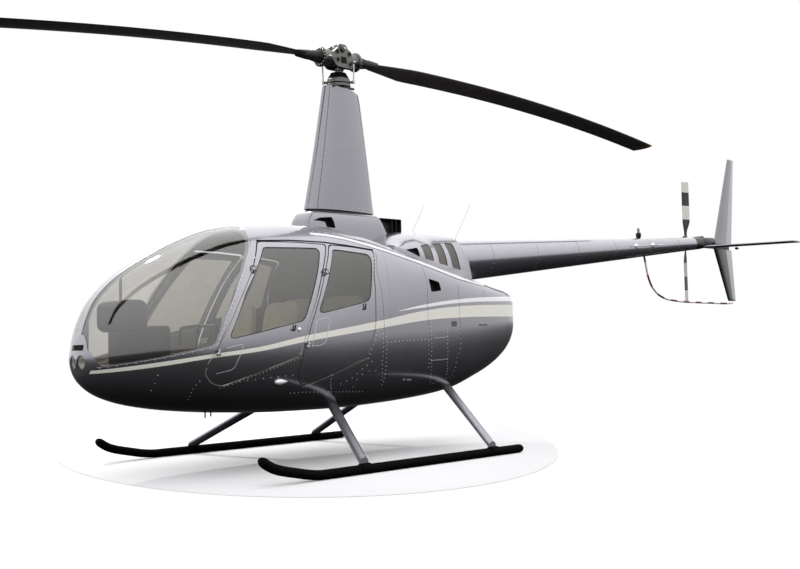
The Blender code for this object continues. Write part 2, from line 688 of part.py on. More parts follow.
def build_doors(root):
    """Four doors with their windows, each under an empty on its hinge axis."""
    for side, word in ((1, "left"), (-1, "right")):
        for place_name, outline, window, hinge in (
                ("front", FRONT_DOOR, FRONT_WINDOW, FRONT_HINGE),
                ("rear", REAR_DOOR, REAR_WINDOW, REAR_HINGE)):
            along, back, inward, top, bottom = hinge_frame(hinge, side)
            pivot = axis_empty(f"{place_name}_door_{word}_hinge", top, root)
            name = f"{place_name}_door_{word}"
            door = place(pod_shell(name, 0.0, WALL), root, paint())
            keep = side_cutter("keep_" + name, inset(list(outline), DOOR_GAP), side, root)
            combine(door, keep, 'INTERSECT')
            rebate = place(pod_grown("cut_rim_" + name, -DOOR_RIM_DEPTH), root, cutter=True)
            pan = side_cutter("keep_pan_" + name, inset(list(outline), DOOR_GAP + DOOR_RIM_WIDTH), side, root)
            combine(rebate, pan, 'DIFFERENCE')
            combine(door, rebate, 'DIFFERENCE')
            hole = side_cutter(f"cut_{place_name}_window_{word}", list(window), side, root)
            combine(door, hole, 'DIFFERENCE')
            for i, at in enumerate((top, bottom)):
                for piece in hinge_leaf(f"{name}_leaf_{i}", at + along * SEAT_GAP, along, back,
                                        inward, HINGE_REACH, root):
                    combine(door, piece, 'UNION')
                target = "cabin_roof" if at.z > TUB_TOP_Z else "cabin_tub"
                for piece in hinge_leaf(f"{name}_fixed_{i}", at - along * HINGE_LENGTH, along, back,
                                        inward, -FIXED_REACH, root):
                    combine(bpy.data.objects[target], piece, 'UNION')
            pane = place(pod_shell(f"{place_name}_window_{word}", 0.0, PANE), root, glass())
            fit = side_cutter(f"keep_{place_name}_window_{word}", inset(list(window), SEAT_GAP),
                              side, root)
            combine(pane, fit, 'INTERSECT')
            for obj in (door, pane):
                obj.parent = pivot
                obj.matrix_parent_inverse = Matrix.Translation(-top)


def build_interior(root):
    """Floor, rear bulkhead, console, seats and controls."""
    room = place(pod_grown("fit_room", -(WALL + SEAT_GAP)), root, cutter=True)
    combine(place(box("cabin_floor", *CABIN_FLOOR), root, black()), room, 'INTERSECT')
    combine(place(box("rear_bulkhead", *CABIN_BULKHEAD), root, leather()), room, 'INTERSECT')
    console = place(box("console", *CONSOLE), root, black())
    for name, corners in (("console_neck", CONSOLE_NECK), ("console_hood", CONSOLE_HOOD)):
        combine(console, place(box(name, *corners), root, cutter=True), 'UNION')
    combine(console, room, 'INTERSECT')
    for name, corners in (("front_seat_box", FRONT_SEAT_BOX), ("rear_seat_box", REAR_SEAT_BOX)):
        combine(place(box(name, *corners), root, black()), room, 'INTERSECT')
    for side, word in ((1, "left"), (-1, "right")):
        y0, y1 = sorted((FRONT_SEAT_SPAN[0] * side, FRONT_SEAT_SPAN[1] * side))
        place(prism(f"front_seat_{word}", list(FRONT_SEAT), y0, y1), root, leather())
    place(prism("rear_bench", list(REAR_SEAT), -REAR_SEAT_HALF, REAR_SEAT_HALF), root, leather())
    stick = place(tube("cyclic_stick", list(STICK), STICK_RADIUS, 2), root, black())
    bar = tube("cyclic_bar", list(STICK_BAR), STICK_BAR_RADIUS, 2)
    combine(stick, place(bar, root, cutter=True), 'UNION')
    for side, word in ((1, "left"), (-1, "right")):
        path = [(x, y * side, z) for x, y, z in PEDALS]
        place(tube(f"pedals_{word}", path, PEDAL_RADIUS, 2), root, black())
    place(tube("collective_lever", list(LEVER), LEVER_RADIUS, 2), root, black())


def cowl_body(name, margin):
    """The cowling's solid, its surface moved inwards by a margin."""
    span = COWL_FRONT - margin - COWL_BACK
    rings = []
    for i in range(COWL_STATIONS):
        rings.append(cowl_ring(COWL_FRONT - margin - span * i / (COWL_STATIONS - 1), margin))
    return loft(name, rings)


def base_body(name, margin):
    """The mast base's solid, its surface moved inwards by a margin, stations bunched at its ends."""
    front = BASE_FRONT - margin
    span = front - BASE_BACK - margin
    rings = []
    for i in range(BASE_STATIONS):
        share = (1.0 - math.cos(math.pi * i / (BASE_STATIONS - 1))) / 2.0
        rings.append(base_ring(front - span * share, margin))
    return loft(name, rings)


def build_cowling(root):
    """Engine cowling and mast base as one hollow cover on the pod, with its openings and outlet box."""
    cowl = place(cowl_body("engine_cowling", 0.0), root, paint())
    combine(cowl, place(base_body("join_mast_base", 0.0), root, cutter=True), 'UNION')
    hollow = place(cowl_body("cut_cowling_inside", COWL_WALL), root, cutter=True)
    face = [(x + COWL_REAR_WALL, z) for x, z in COWL_REAR_CUT[:5]] + [(1.0, 1.20), (1.0, 1.98)]
    combine(hollow, place(prism("keep_cowling_inside", face, -1.0, 1.0), root, cutter=True), 'INTERSECT')
    cuts = [
        hollow,
        place(base_body("cut_base_inside", COWL_WALL), root, cutter=True),
        place(prism("cut_cowling_rear", list(COWL_REAR_CUT), -1.0, 1.0), root, cutter=True),
        place(pod_grown("fit_cowling", SEAT_GAP), root, cutter=True),
        place(boom_rod("cut_boom_hole", SEAT_GAP), root, cutter=True),
        place(prism("cut_intake", list(INTAKE), -0.30, 0.30), root, cutter=True),
    ]
    core = cowl_body("louvre_floor", LOUVRE_DEPTH)
    place(core, root, cutter=True)
    for side, word in ((1, "left"), (-1, "right")):
        cuts.append(side_cutter(f"cut_vent_{word}", list(VENT), side, root))
        for i, outline in enumerate(LOUVRES):
            recess = side_cutter(f"cut_louvre_{i}_{word}", list(outline), side, root)
            cuts.append(combine(recess, core, 'DIFFERENCE'))
    for cut in cuts:
        combine(cowl, cut, 'DIFFERENCE')
    low, high = OUTLET_BOX
    outlet = place(box("join_outlet_box", low, high), root, cutter=True)
    for side, word in ((1, "left"), (-1, "right")):
        y0, y1 = sorted((OUTLET_CORE * side, 1.0 * side))
        pocket = box(f"cut_outlet_{word}", (low[0] + OUTLET_PLATE, y0, low[2] - OUTLET_PLATE),
                     (high[0] + OUTLET_PLATE, y1, high[2] - OUTLET_PLATE))
        combine(outlet, place(pocket, root, cutter=True), 'DIFFERENCE')
    combine(cowl, outlet, 'UNION')
    low, high = MAST_COLLAR
    _, front, back, half = MAST_FAIRING[0]
    ring = fairing_ring(0.0, front - COLLAR_INSET, back + COLLAR_INSET, half - COLLAR_NARROWING)
    rings = [[(x, y, z) for x, y, _ in ring] for z in (low, high)]
    collar = place(loft("mast_collar", rings), root, black())
    combine(collar, place(base_body("fit_mast_collar", -SEAT_GAP), root, cutter=True), 'DIFFERENCE')


def fairing_ring(z, front, back, half, count=28):
    """A streamlined section round the mast, fuller at the front."""
    middle = (front + back) / 2.0
    length = (front - back) / 2.0
    ring = []
    for i in range(count):
        angle = 2.0 * math.pi * i / count
        taper = 1.0 + 0.25 * math.cos(angle)
        ring.append((middle + length * math.cos(angle), half * taper * math.sin(angle), z))
    return ring


def build_mast(root):
    """Fairing round the mast, with the fixed swashplate on its top."""
    rings = [fairing_ring(*section) for section in MAST_FAIRING]
    place(loft("mast_fairing", rings), root, paint())
    low, high, _ = SWASHPLATE_Z
    plate = place(rod("swashplate_fixed", (0, 0, low), (0, 0, high), SWASHPLATE_RADII[0], sides=32),
                  root, grey_metal())
    near, far, thick = SWASHPLATE_ARM
    middle = (low + high) / 2.0
    for i, turn in enumerate(SWASHPLATE_ARMS):
        arm = rod(f"swashplate_arm_{i}", (near * math.cos(turn), near * math.sin(turn), middle),
                  (far * math.cos(turn), far * math.sin(turn), middle), thick, sides=10)
        combine(plate, place(arm, root, cutter=True), 'UNION')
    bore = rod("cut_fixed_bore", (0, 0, low - BORE_REACH), (0, 0, high + BORE_REACH),
               SHAFT_RADIUS + BEARING_GAP, sides=20)
    combine(plate, place(bore, root, cutter=True), 'DIFFERENCE')


def blade_section(chord, thickness, pitch, across, up, centre, count=8):
    """Points of a thin wing section; its leading edge points along the across vector."""
    ring = []
    spots = [0.5 * (1 - math.cos(math.pi * i / count)) for i in range(count + 1)]
    path = [(s, 1) for s in spots] + [(s, -1) for s in reversed(spots[1:-1])]
    for s, face in path:
        half = thickness * 5.0 * (0.2969 * math.sqrt(s) - 0.126 * s - 0.3516 * s ** 2
                                  + 0.2843 * s ** 3 - 0.1036 * s ** 4)
        forward = (SECTION_AXIS - s) * chord
        rise = face * half * chord
        a = forward * math.cos(pitch) - rise * math.sin(pitch)
        b = forward * math.sin(pitch) + rise * math.cos(pitch)
        ring.append(tuple(centre + across * a + up * b))
    return ring


def build_main_rotor(pivot):
    """Shaft, teetering hub, two blades and the turning swashplate with its links."""
    span_dir = Vector((math.cos(BLADE_AZIMUTH), math.sin(BLADE_AZIMUTH), 0.0))
    hub_dir = Vector((span_dir.x, span_dir.y, BLADE_TEETER)).normalized()
    across = Vector((0, 0, 1)).cross(hub_dir).normalized()
    hub_up = hub_dir.cross(across).normalized()
    centre = Vector((0.0, 0.0, HUB_Z))
    hub = place(rod("rotor_hub", (0, 0, SHAFT_FOOT), (0, 0, HUB_Z + SHAFT_TOP), SHAFT_RADIUS, sides=20),
                pivot, grey_metal())
    turn = Matrix((hub_dir, across, hub_up)).transposed().to_4x4()
    cheeks = prism("hub_cheeks", list(HUB_CHEEK), -HUB_CHEEK_HALF, HUB_CHEEK_HALF)
    cheeks.data.transform(Matrix.Translation(centre) @ turn)
    rise, reach, radius = TEETER_PIN
    pin = rod("teeter_pin", centre + hub_up * rise - across * reach, centre + hub_up * rise + across * reach,
              radius, sides=14)
    spindle = rod("hub_spindle", centre - hub_dir * HUB_HALF_LENGTH, centre + hub_dir * HUB_HALF_LENGTH,
                  HUB_SPINDLE_RADIUS, sides=18)
    height, foot, top = HUB_CAP
    cap = rod("hub_cap", centre, centre + Vector((0, 0, height)), foot, top, sides=16)
    pieces = [cheeks, pin, spindle, cap]
    for sign, word in ((1, "aft"), (-1, "fore")):
        for part_name, (near, far, radius) in (("barrel", HUB_BARREL), ("flange", HUB_FLANGE)):
            pieces.append(rod(f"hub_{part_name}_{word}", centre + hub_dir * (sign * near),
                              centre + hub_dir * (sign * far), radius, sides=24))
    for piece in pieces:
        combine(hub, place(piece, pivot, cutter=True), 'UNION')
    plate = build_turning_plate(pivot)
    for sign, word in ((1, "aft"), (-1, "fore")):
        blade = place(main_blade(sign, word, centre, span_dir, across), pivot, blade_paint())
        root_point = centre + hub_dir * (sign * (HUB_HALF_LENGTH + SEAT_GAP))
        blade_start = centre + hub_dir * (sign * (BLADE_ROOT + GRIP_OVERLAP))
        grip = rod(f"blade_grip_{word}", root_point, blade_start, *GRIP_RADII, sides=14)
        combine(blade, place(grip, pivot, cutter=True), 'UNION')
        back, out, link_low, link_high = PITCH_LINK
        foot = Vector((-back * sign, out * sign, link_low))
        near = (foot.x * PITCH_ARM_START, foot.y * PITCH_ARM_START, link_low)
        arm = rod(f"pitch_arm_{word}", near, foot, PITCH_ARM_RADIUS, sides=10)
        link = rod(f"pitch_link_{word}", foot - Vector((0, 0, PITCH_ARM_RADIUS)), (foot.x, foot.y, link_high),
                   PITCH_LINK_RADIUS, sides=8)
        for piece in (arm, link):
            combine(plate, place(piece, pivot, cutter=True), 'UNION')


def build_turning_plate(pivot):
    """The swashplate's turning half with the boot over it, bored for the shaft."""
    _, low, high = SWASHPLATE_Z
    disc = rod("swashplate_turning", (0, 0, low + SEAT_GAP), (0, 0, high), SWASHPLATE_RADII[1], sides=32)
    plate = place(disc, pivot, grey_metal())
    boot = rod("swashplate_boot", (0, 0, high - BOOT_OVERLAP), (0, 0, BOOT_TOP_Z), *BOOT_RADII, sides=24)
    combine(plate, place(boot, pivot, cutter=True), 'UNION')
    bore = rod("cut_swashplate_bore", (0, 0, low - BORE_REACH), (0, 0, BOOT_TOP_Z + BORE_REACH),
               SHAFT_RADIUS + SEAT_GAP, sides=20)
    return combine(plate, place(bore, pivot, cutter=True), 'DIFFERENCE')


def main_blade(sign, word, centre, span_dir, across):
    """One main blade as it hangs: root narrowed, twisted, drooping towards its tip."""
    pitch, washout = BLADE_PITCH[word]
    rings = []
    for i in range(BLADE_STATIONS):
        r = BLADE_ROOT + (ROTOR_RADIUS - BLADE_ROOT) * i / (BLADE_STATIONS - 1)
        twist = math.radians(pitch - washout * r / ROTOR_RADIUS)
        rise = BLADE_TEETER * sign * r - BLADE_DROOP * r * r
        middle = centre + span_dir * (sign * r) + Vector((0, 0, rise))
        chord = BLADE_CHORD * min(1.0, 0.45 + 0.55 * (i / 2.0))
        edge = across * (-sign)
        rings.append(blade_section(chord, BLADE_THICKNESS, twist, edge, Vector((0, 0, 1)), middle))
    return loft(f"main_blade_{word}", rings)


def boom_rod(name, margin):
    """The tail boom's cone, grown by a margin."""
    return rod(name, (BOOM_START[0], 0.0, BOOM_START[1]), (BOOM_END[0], 0.0, BOOM_END[1]),
               BOOM_RADII[0] + margin, BOOM_RADII[1] + margin, sides=32)


def gearbox_rod(name, margin):
    """The tail gearbox's cone, grown by a margin."""
    slope = (BOOM_END[1] - BOOM_START[1]) / (BOOM_END[0] - BOOM_START[0])
    start = (BOOM_END[0] - SEAT_GAP, 0.0, BOOM_END[1] - SEAT_GAP * slope)
    end = (GEARBOX_END, 0.0, BOOM_END[1] + (GEARBOX_END - BOOM_END[0]) * slope)
    return rod(name, start, end, GEARBOX_RADII[0] + margin, GEARBOX_RADII[1] + margin, sides=20)


def build_tail(root):
    """Boom, gearbox with the plate of the fins, fins, stabiliser, guard and beacon."""
    boom = place(boom_rod("tail_boom", 0.0), root, paint())
    boom.data.shade_smooth()
    combine(boom, place(pod_grown("fit_boom", SEAT_GAP), root, cutter=True), 'DIFFERENCE')
    gearbox = place(gearbox_rod("tail_gearbox", 0.0), root, paint())
    x, y, z = TAIL_ROTOR
    case = rod("gearbox_case", (x, 0.0, z), (x, y + GEARBOX_CASE_LENGTH, z), *GEARBOX_CASE_RADII, sides=20)
    for piece in (case, box("fin_mount", *FIN_MOUNT)):
        combine(gearbox, place(piece, root, cutter=True), 'UNION')
    build_fins(root)
    place(tube("tail_rotor_guard", list(GUARD_PATH), GUARD_RADIUS, 2), root, white())
    x, low = BEACON
    (shelf, wide), (top, narrow) = BEACON_STEPS
    beacon = place(rod("beacon", (x, 0, low), (x, 0, shelf), wide, sides=16), root, white())
    glass = rod("beacon_glass", (x, 0, low), (x, 0, top), narrow, sides=16)
    combine(beacon, place(glass, root, cutter=True), 'UNION')
    for name in ("tail_rotor_guard", "beacon"):
        grown = place(boom_rod(f"fit_{name}", SEAT_GAP), root, cutter=True)
        combine(bpy.data.objects[name], grown, 'DIFFERENCE')


def wing_ring(front, back, thickness, centre, up):
    """A wing section between two x values, its quarter-chord line through a centre."""
    middle = Vector((front - SECTION_AXIS * (front - back), *centre))
    return blade_section(front - back, thickness, 0.0, Vector((1, 0, 0)), up, middle)


def build_fins(root):
    """Upper and lower fins on the plate, and the stabiliser fitted to the gearbox."""
    low, high = FIN_MOUNT[0][2], FIN_MOUNT[1][2]
    sideways, upright = Vector((0, 1, 0)), Vector((0, 0, 1))
    for word, tip, level in (("upper", FIN_TOP, high + SEAT_GAP), ("lower", FIN_BOTTOM, low - SEAT_GAP)):
        rings = [wing_ring(*FIN_ROOT, FIN_THICKNESS[0], (0.0, level), sideways),
                 wing_ring(tip[0], tip[1], FIN_THICKNESS[1], (0.0, tip[2]), sideways)]
        place(loft(f"{word}_fin", rings), root, paint())
    rings = [wing_ring(front, back, STABILISER_THICKNESS, (span, STABILISER_Z), upright)
             for front, back, span in STABILISER]
    stabiliser = place(loft("horizontal_stabiliser", rings), root, paint())
    for grown in (gearbox_rod("fit_stabiliser", SEAT_GAP), boom_rod("fit_stabiliser_front", SEAT_GAP)):
        combine(stabiliser, place(grown, root, cutter=True), 'DIFFERENCE')


def build_tail_rotor(pivot):
    """Hub with its bar, and two blades."""
    x, y, z = TAIL_ROTOR
    near, far, radius = TAIL_SHAFT
    shaft = rod("tail_rotor_hub", (x, y + near, z), (x, y + far, z), radius, sides=16)
    hub = place(shaft, pivot, grey_metal())
    half = Vector(TAIL_BAR)
    centre = Vector(TAIL_ROTOR)
    combine(hub, place(box("tail_hub_bar", centre - half, centre + half), pivot, cutter=True), 'UNION')
    for sign, word in ((1, "up"), (-1, "down")):
        rings = []
        for i in range(5):
            r = TAIL_BLADE_ROOT + (TAIL_ROTOR_RADIUS - TAIL_BLADE_ROOT) * i / 4.0
            chord = TAIL_BLADE_CHORDS[1] if i else TAIL_BLADE_CHORDS[0]
            rings.append(blade_section(chord, TAIL_BLADE_THICKNESS, TAIL_BLADE_PITCH, Vector((sign, 0, 0)),
                                       Vector((0, -1, 0)), centre + Vector((0, 0, sign * r))))
        place(loft(f"tail_blade_{word}", rings), pivot, blade_paint())


def build_gear(root):
    """Skid tubes and the four legs that carry the belly."""
    belly = place(pod_grown("fit_legs", SEAT_GAP), root, cutter=True)
    for side, word in ((1, "left"), (-1, "right")):
        path = [(x, SKID_Y * side, z) for x, z in SKID_PATH]
        skid = place(tube(f"skid_{word}", path, SKID_RADIUS, 3), root, black())
        drop = Matrix.Translation((0.0, 0.0, -min(v.co.z for v in skid.data.vertices)))
        skid.data.transform(drop)
        grown = place(tube(f"fit_skid_{word}", path, SKID_RADIUS + SEAT_GAP, 3), root, cutter=True)
        grown.data.transform(drop)
        for name, leg in (("front", FRONT_LEG), ("rear", REAR_LEG)):
            rings = []
            for px, py, pz in leg:
                ring = []
                for i in range(20):
                    angle = 2.0 * math.pi * i / 20
                    ring.append((px + LEG_SIZE[0] * math.cos(angle), py * side,
                                 pz + LEG_SIZE[1] * math.sin(angle)))
                rings.append(ring)
            strut = place(loft(f"{name}_leg_{word}", rings), root, grey_metal())
            combine(strut, belly, 'DIFFERENCE')
            combine(strut, grown, 'DIFFERENCE')


def build_details(root):
    """Engine block on its mount, and two whip aerials on the spine."""
    place(box("engine_block", *ENGINE_BLOCK), root, grey_metal())
    place(box("engine_mount", *ENGINE_MOUNT), root, black())
    cowl = place(cowl_body("fit_front_aerial", -SEAT_GAP), root, cutter=True)
    boom = place(boom_rod("fit_rear_aerial", SEAT_GAP), root, cutter=True)
    for name, (foot, tip), seat in (("aerial_front", FRONT_AERIAL, cowl), ("aerial_rear", REAR_AERIAL, boom)):
        foot = Vector((foot[0], 0.0, foot[1]))
        tip = Vector((tip[0], 0.0, tip[1]))
        whip = place(rod(name, foot, tip, AERIAL_RADII[0], AERIAL_RADII[1], sides=8), root, black())
        base = rod(name + "_base", foot, foot + (tip - foot).normalized() * AERIAL_BASE[1], AERIAL_BASE[0],
                   AERIAL_BASE[0] * 0.5, sides=12)
        combine(whip, place(base, root, cutter=True), 'UNION')
        combine(whip, seat, 'DIFFERENCE')


def build():
    """Make the helicopter with its two rotor axes."""
    root = bpy.data.objects.new("mast_foot", None)
    collection(COLLECTION).objects.link(root)
    root.location = (MAST_X, 0.0, 0.0)
    main_axis = axis_empty("main_rotor_axis", (0.0, 0.0, HUB_Z), root)
    tail_axis = axis_empty("tail_rotor_axis", TAIL_ROTOR, root)
    build_skin(root)
    build_nose_lamps(root)
    build_windscreen(root)
    build_doors(root)
    build_interior(root)
    build_cowling(root)
    build_mast(root)
    build_main_rotor(main_axis)
    build_tail(root)
    build_tail_rotor(tail_axis)
    build_gear(root)
    build_details(root)


for existing in list(bpy.data.objects):
    bpy.data.objects.remove(existing)
build()
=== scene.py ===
"""Looks of a light five-seat helicopter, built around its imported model.

Shapes are worked out in mast coordinates: metres, X forward from the main rotor's axis, Y to port, Z up from
the floor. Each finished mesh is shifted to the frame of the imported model, whose mast stands at MAST_X.
"""

from __future__ import annotations

import logging
import math
from dataclasses import dataclass, field
from enum import Enum
from typing import Sequence

import bpy
import numpy as np
from mathutils import Matrix, Vector

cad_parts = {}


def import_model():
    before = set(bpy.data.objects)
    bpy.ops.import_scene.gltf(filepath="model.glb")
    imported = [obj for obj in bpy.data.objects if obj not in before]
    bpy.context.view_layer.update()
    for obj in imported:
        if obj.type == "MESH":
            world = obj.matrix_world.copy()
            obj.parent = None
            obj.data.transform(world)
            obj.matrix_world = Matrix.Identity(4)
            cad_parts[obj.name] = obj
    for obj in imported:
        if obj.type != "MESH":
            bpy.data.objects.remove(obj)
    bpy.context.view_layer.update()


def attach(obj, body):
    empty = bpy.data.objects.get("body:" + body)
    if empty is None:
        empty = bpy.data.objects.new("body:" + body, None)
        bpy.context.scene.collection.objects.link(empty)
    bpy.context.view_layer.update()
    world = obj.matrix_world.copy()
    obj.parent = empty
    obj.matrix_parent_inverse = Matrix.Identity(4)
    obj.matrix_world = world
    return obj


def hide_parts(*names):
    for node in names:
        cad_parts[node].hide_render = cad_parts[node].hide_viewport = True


LOG = logging.getLogger("helicopter")

MAST_X = 0.8405
SHIFT = np.array([MAST_X, 0.0, 0.0])
MM = 0.001
UP = np.array([0.0, 0.0, 1.0])
FORWARD = np.array([1.0, 0.0, 0.0])

Array = np.ndarray
Point = tuple[float, float, float]
Path = Sequence[Sequence[float]]
Outline = Sequence[tuple[float, float]]
Object = bpy.types.Object
Material = bpy.types.Material
Tree = bpy.types.NodeTree
Socket = bpy.types.NodeSocket


class Side(Enum):
    """The two sides of the machine, with the sign of Y and the word in piece names."""

    LEFT = (1.0, "left")
    RIGHT = (-1.0, "right")

    @property
    def sign(self) -> float:
        """Sign of Y on this side."""
        return self.value[0]

    @property
    def word(self) -> str:
        """Word for this side in the names of pieces."""
        return self.value[1]


class Body(Enum):
    """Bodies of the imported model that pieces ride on."""

    AIRFRAME = "airframe"
    MAIN_ROTOR = "main_rotor"
    TAIL_ROTOR = "tail_rotor"


# Mesh tools


@dataclass
class MeshData:
    """Points with quads and triangles that index them."""

    points: Array
    quads: Array = field(default_factory=lambda: np.zeros((0, 4), int))
    tris: Array = field(default_factory=lambda: np.zeros((0, 3), int))

    def __add__(self, other: "MeshData") -> "MeshData":
        """Both meshes side by side in one."""
        count = len(self.points)
        return MeshData(np.vstack([self.points, other.points]),
                        np.vstack([self.quads, other.quads + count]),
                        np.vstack([self.tris, other.tris + count]))

    def flipped(self) -> "MeshData":
        """The same mesh with its faces turned over."""
        return MeshData(self.points, self.quads[:, ::-1], self.tris[:, ::-1])

    def mirrored(self) -> "MeshData":
        """The mesh on the other side of the plane Y = 0, faces still outwards."""
        return MeshData(self.points * np.array([1.0, -1.0, 1.0]), self.quads, self.tris).flipped()

    def sided(self, side: Side) -> "MeshData":
        """The mesh as made for the left side, or its mirror image."""
        return self if side is Side.LEFT else self.mirrored()

    def paired(self) -> "MeshData":
        """The mesh with its mirror image."""
        return self + self.mirrored()


def full_turn(count: int) -> Array:
    """Angles spread evenly over one turn, its end left out."""
    return np.linspace(0.0, 2.0 * math.pi, count, endpoint=False)


def normed(vectors: Array) -> Array:
    """Vectors scaled to length 1."""
    return vectors / np.linalg.norm(vectors, axis=-1, keepdims=True)


def helper_axis(directions: Array) -> Array:
    """An axis well away from each direction: up, or forward where the direction is nearly upright."""
    upright = 0.9
    return np.where(np.abs(directions[..., 2:]) < upright, UP, FORWARD)


def toward(start: Array, end: Array, distance: float) -> Array:
    """Points moved from a start towards an end by a distance, though by no more than 0.45 of the way."""
    way = end - start
    length = np.linalg.norm(way, axis=-1, keepdims=True)
    return start + way / length * np.minimum(distance, 0.45 * length)


def quadratic(s: Array, a: Array, b: Array, c: Array) -> Array:
    """Points of the curve (1 - s)^2 a + 2 s (1 - s) b + s^2 c."""
    return (1 - s) ** 2 * a + 2 * s * (1 - s) * b + s ** 2 * c


def joined(parts: Sequence[MeshData]) -> MeshData:
    """All meshes as one."""
    starts = np.cumsum([0] + [len(p.points) for p in parts[:-1]])
    return MeshData(np.vstack([p.points for p in parts]),
                    np.vstack([p.quads + s for p, s in zip(parts, starts)]),
                    np.vstack([p.tris + s for p, s in zip(parts, starts)]))


def grid_quads(rows: int, columns: int, wrap: bool = False) -> Array:
    """Quads of a grid of points stored row by row.

    Args:
        rows: Number of rows.
        columns: Points in each row.
        wrap: Whether each row closes on itself.

    Returns:
        An array of quads, turning from row to next column.
    """
    r = np.arange(rows - 1)[:, None]
    c = np.arange(columns if wrap else columns - 1)[None, :]
    n = (c + 1) % columns
    quads = np.stack([r * columns + c, r * columns + n, (r + 1) * columns + n, (r + 1) * columns + c], -1)
    return quads.reshape(-1, 4)


def volume_sign(mesh: MeshData) -> float:
    """Sign of the enclosed volume: the sum of a x b . c over all triangles of the fan of each face."""
    p = mesh.points - mesh.points.mean(0)
    fans = [mesh.tris, mesh.quads[:, [0, 1, 2]], mesh.quads[:, [0, 2, 3]]]
    t = p[np.vstack(fans)]
    return float(np.sign(np.einsum("ij,ij->i", np.cross(t[:, 0], t[:, 1]), t[:, 2]).sum()))


def outward(mesh: MeshData) -> MeshData:
    """The closed mesh with its faces pointing out."""
    return mesh if volume_sign(mesh) > 0 else mesh.flipped()


def loft(rings: Array) -> MeshData:
    """A surface through closed rings, each end closed by a fan round its middle point.

    Args:
        rings: Array of shape (rings, points, 3).

    Returns:
        The mesh, facing out.
    """
    count, size = rings.shape[:2]
    points = rings.reshape(-1, 3)
    quads = grid_quads(count, size, wrap=True)
    ends = np.stack([rings[0].mean(0), rings[-1].mean(0)])
    i = np.arange(size)
    j = (i + 1) % size
    last = (count - 1) * size
    front = np.stack([np.full(size, count * size), j, i], -1)
    back = np.stack([np.full(size, count * size + 1), last + i, last + j], -1)
    return outward(MeshData(np.vstack([points, ends]), quads, np.vstack([front, back])))


def frames_along(path: Array) -> tuple[Array, Array, Array]:
    """Tangents and two normals along a path, turned as little as possible from point to point.

    Args:
        path: Array of shape (points, 3).

    Returns:
        Tangents, first normals and second normals.
    """
    tangents = normed(np.gradient(path, axis=0))
    first = np.zeros_like(path)
    normal = helper_axis(tangents[0])
    for i, t in enumerate(tangents):
        normal = normed(normal - t * (normal @ t))
        first[i] = normal
    return tangents, first, np.cross(tangents, first)


def tube(path: Path, radius: float | Array, sides: int = 16) -> MeshData:
    """A round tube: each point of the path carries a circle across its tangent."""
    points = np.asarray(path, float)
    _, a, b = frames_along(points)
    turn = full_turn(sides)[None, :, None]
    r = np.broadcast_to(radius, (len(points),))[:, None, None]
    return loft(points[:, None] + r * (np.cos(turn) * a[:, None] + np.sin(turn) * b[:, None]))


def rounded_path(corners: Path, radius: float, steps: int = 8) -> Array:
    """A path whose inner corners are replaced by quadratic curves that start a radius before them."""
    pts = np.asarray(corners, float)
    out = [pts[0]]
    share = np.linspace(0.0, 1.0, steps)[:, None]
    for before, at, after in zip(pts, pts[1:], pts[2:]):
        out.extend(quadratic(share, toward(at, before, radius), at, toward(at, after, radius)))
    out.append(pts[-1])
    return np.array(out)


def lathe(profile: Outline, start: Sequence[float], axis: Sequence[float], sides: int = 32) -> MeshData:
    """A turned solid: (distance along the axis, radius) pairs swept round the axis, flat ends closed."""
    direction = normed(np.asarray(axis, float))
    a = normed(np.cross(direction, helper_axis(direction)))
    b = np.cross(direction, a)
    turn = full_turn(sides)[:, None]
    circle = np.cos(turn) * a + np.sin(turn) * b
    ends = [((end[0], 0.0),) if end[1] else () for end in (profile[0], profile[-1])]
    along, radius = np.array([*ends[0], *profile, *ends[1]], float).T[..., None, None]
    return loft(np.asarray(start, float) + along * direction + radius * circle)


def superbox(low: Sequence[float], high: Sequence[float], edge: float, steps: int = 4) -> MeshData:
    """A box with all edges rounded: rounded rectangles stacked in Z, inset by r (1 - sin a) near both ends.

    Args:
        low: Lowest corner.
        high: Highest corner.
        edge: Radius of the edges.
        steps: Segments in each quarter turn.

    Returns:
        The closed mesh.
    """
    lo, hi = np.asarray(low, float), np.asarray(high, float)
    half, middle = (hi - lo) / 2.0, (hi + lo) / 2.0
    widest = 0.98
    r = min(edge, *(half * widest))
    quarter = np.linspace(0.0, math.pi / 2.0, steps + 1)
    turn = np.concatenate([quarter + k * math.pi / 2.0 for k in range(4)])
    corner = np.repeat([[1, 1], [-1, 1], [-1, -1], [1, -1]], steps + 1, axis=0) * (half[:2] - r)
    levels = np.concatenate([-(half[2] - r) - r * np.cos(quarter), (half[2] - r) + r * np.cos(quarter[::-1])])
    reach = r * np.sin(np.concatenate([quarter, quarter[::-1]]))
    flat = corner[None] + reach[:, None, None] * np.stack([np.cos(turn), np.sin(turn)], -1)[None]
    rings = np.concatenate([flat, np.broadcast_to(levels[:, None, None], (*flat.shape[:2], 1))], -1)
    return loft(rings + middle)


def turned(mesh: MeshData, about: Sequence[float], axis: Sequence[float], degrees: float) -> MeshData:
    """The mesh turned about an axis by Rodrigues' formula: p cos + (k x p) sin + k (k . p)(1 - cos)."""
    k = np.asarray(axis, float) / np.linalg.norm(axis)
    angle = math.radians(degrees)
    p = mesh.points - np.asarray(about, float)
    moved = (p * math.cos(angle) + np.cross(k, p) * math.sin(angle)
             + np.outer(p @ k, k) * (1.0 - math.cos(angle)))
    return MeshData(moved + np.asarray(about, float), mesh.quads, mesh.tris)


def torus(rings: Array) -> MeshData:
    """A surface through closed rings whose last ring joins the first."""
    count, size = rings.shape[:2]
    quads = grid_quads(count + 1, size, wrap=True) % (count * size)
    return outward(MeshData(rings.reshape(-1, 3), quads))


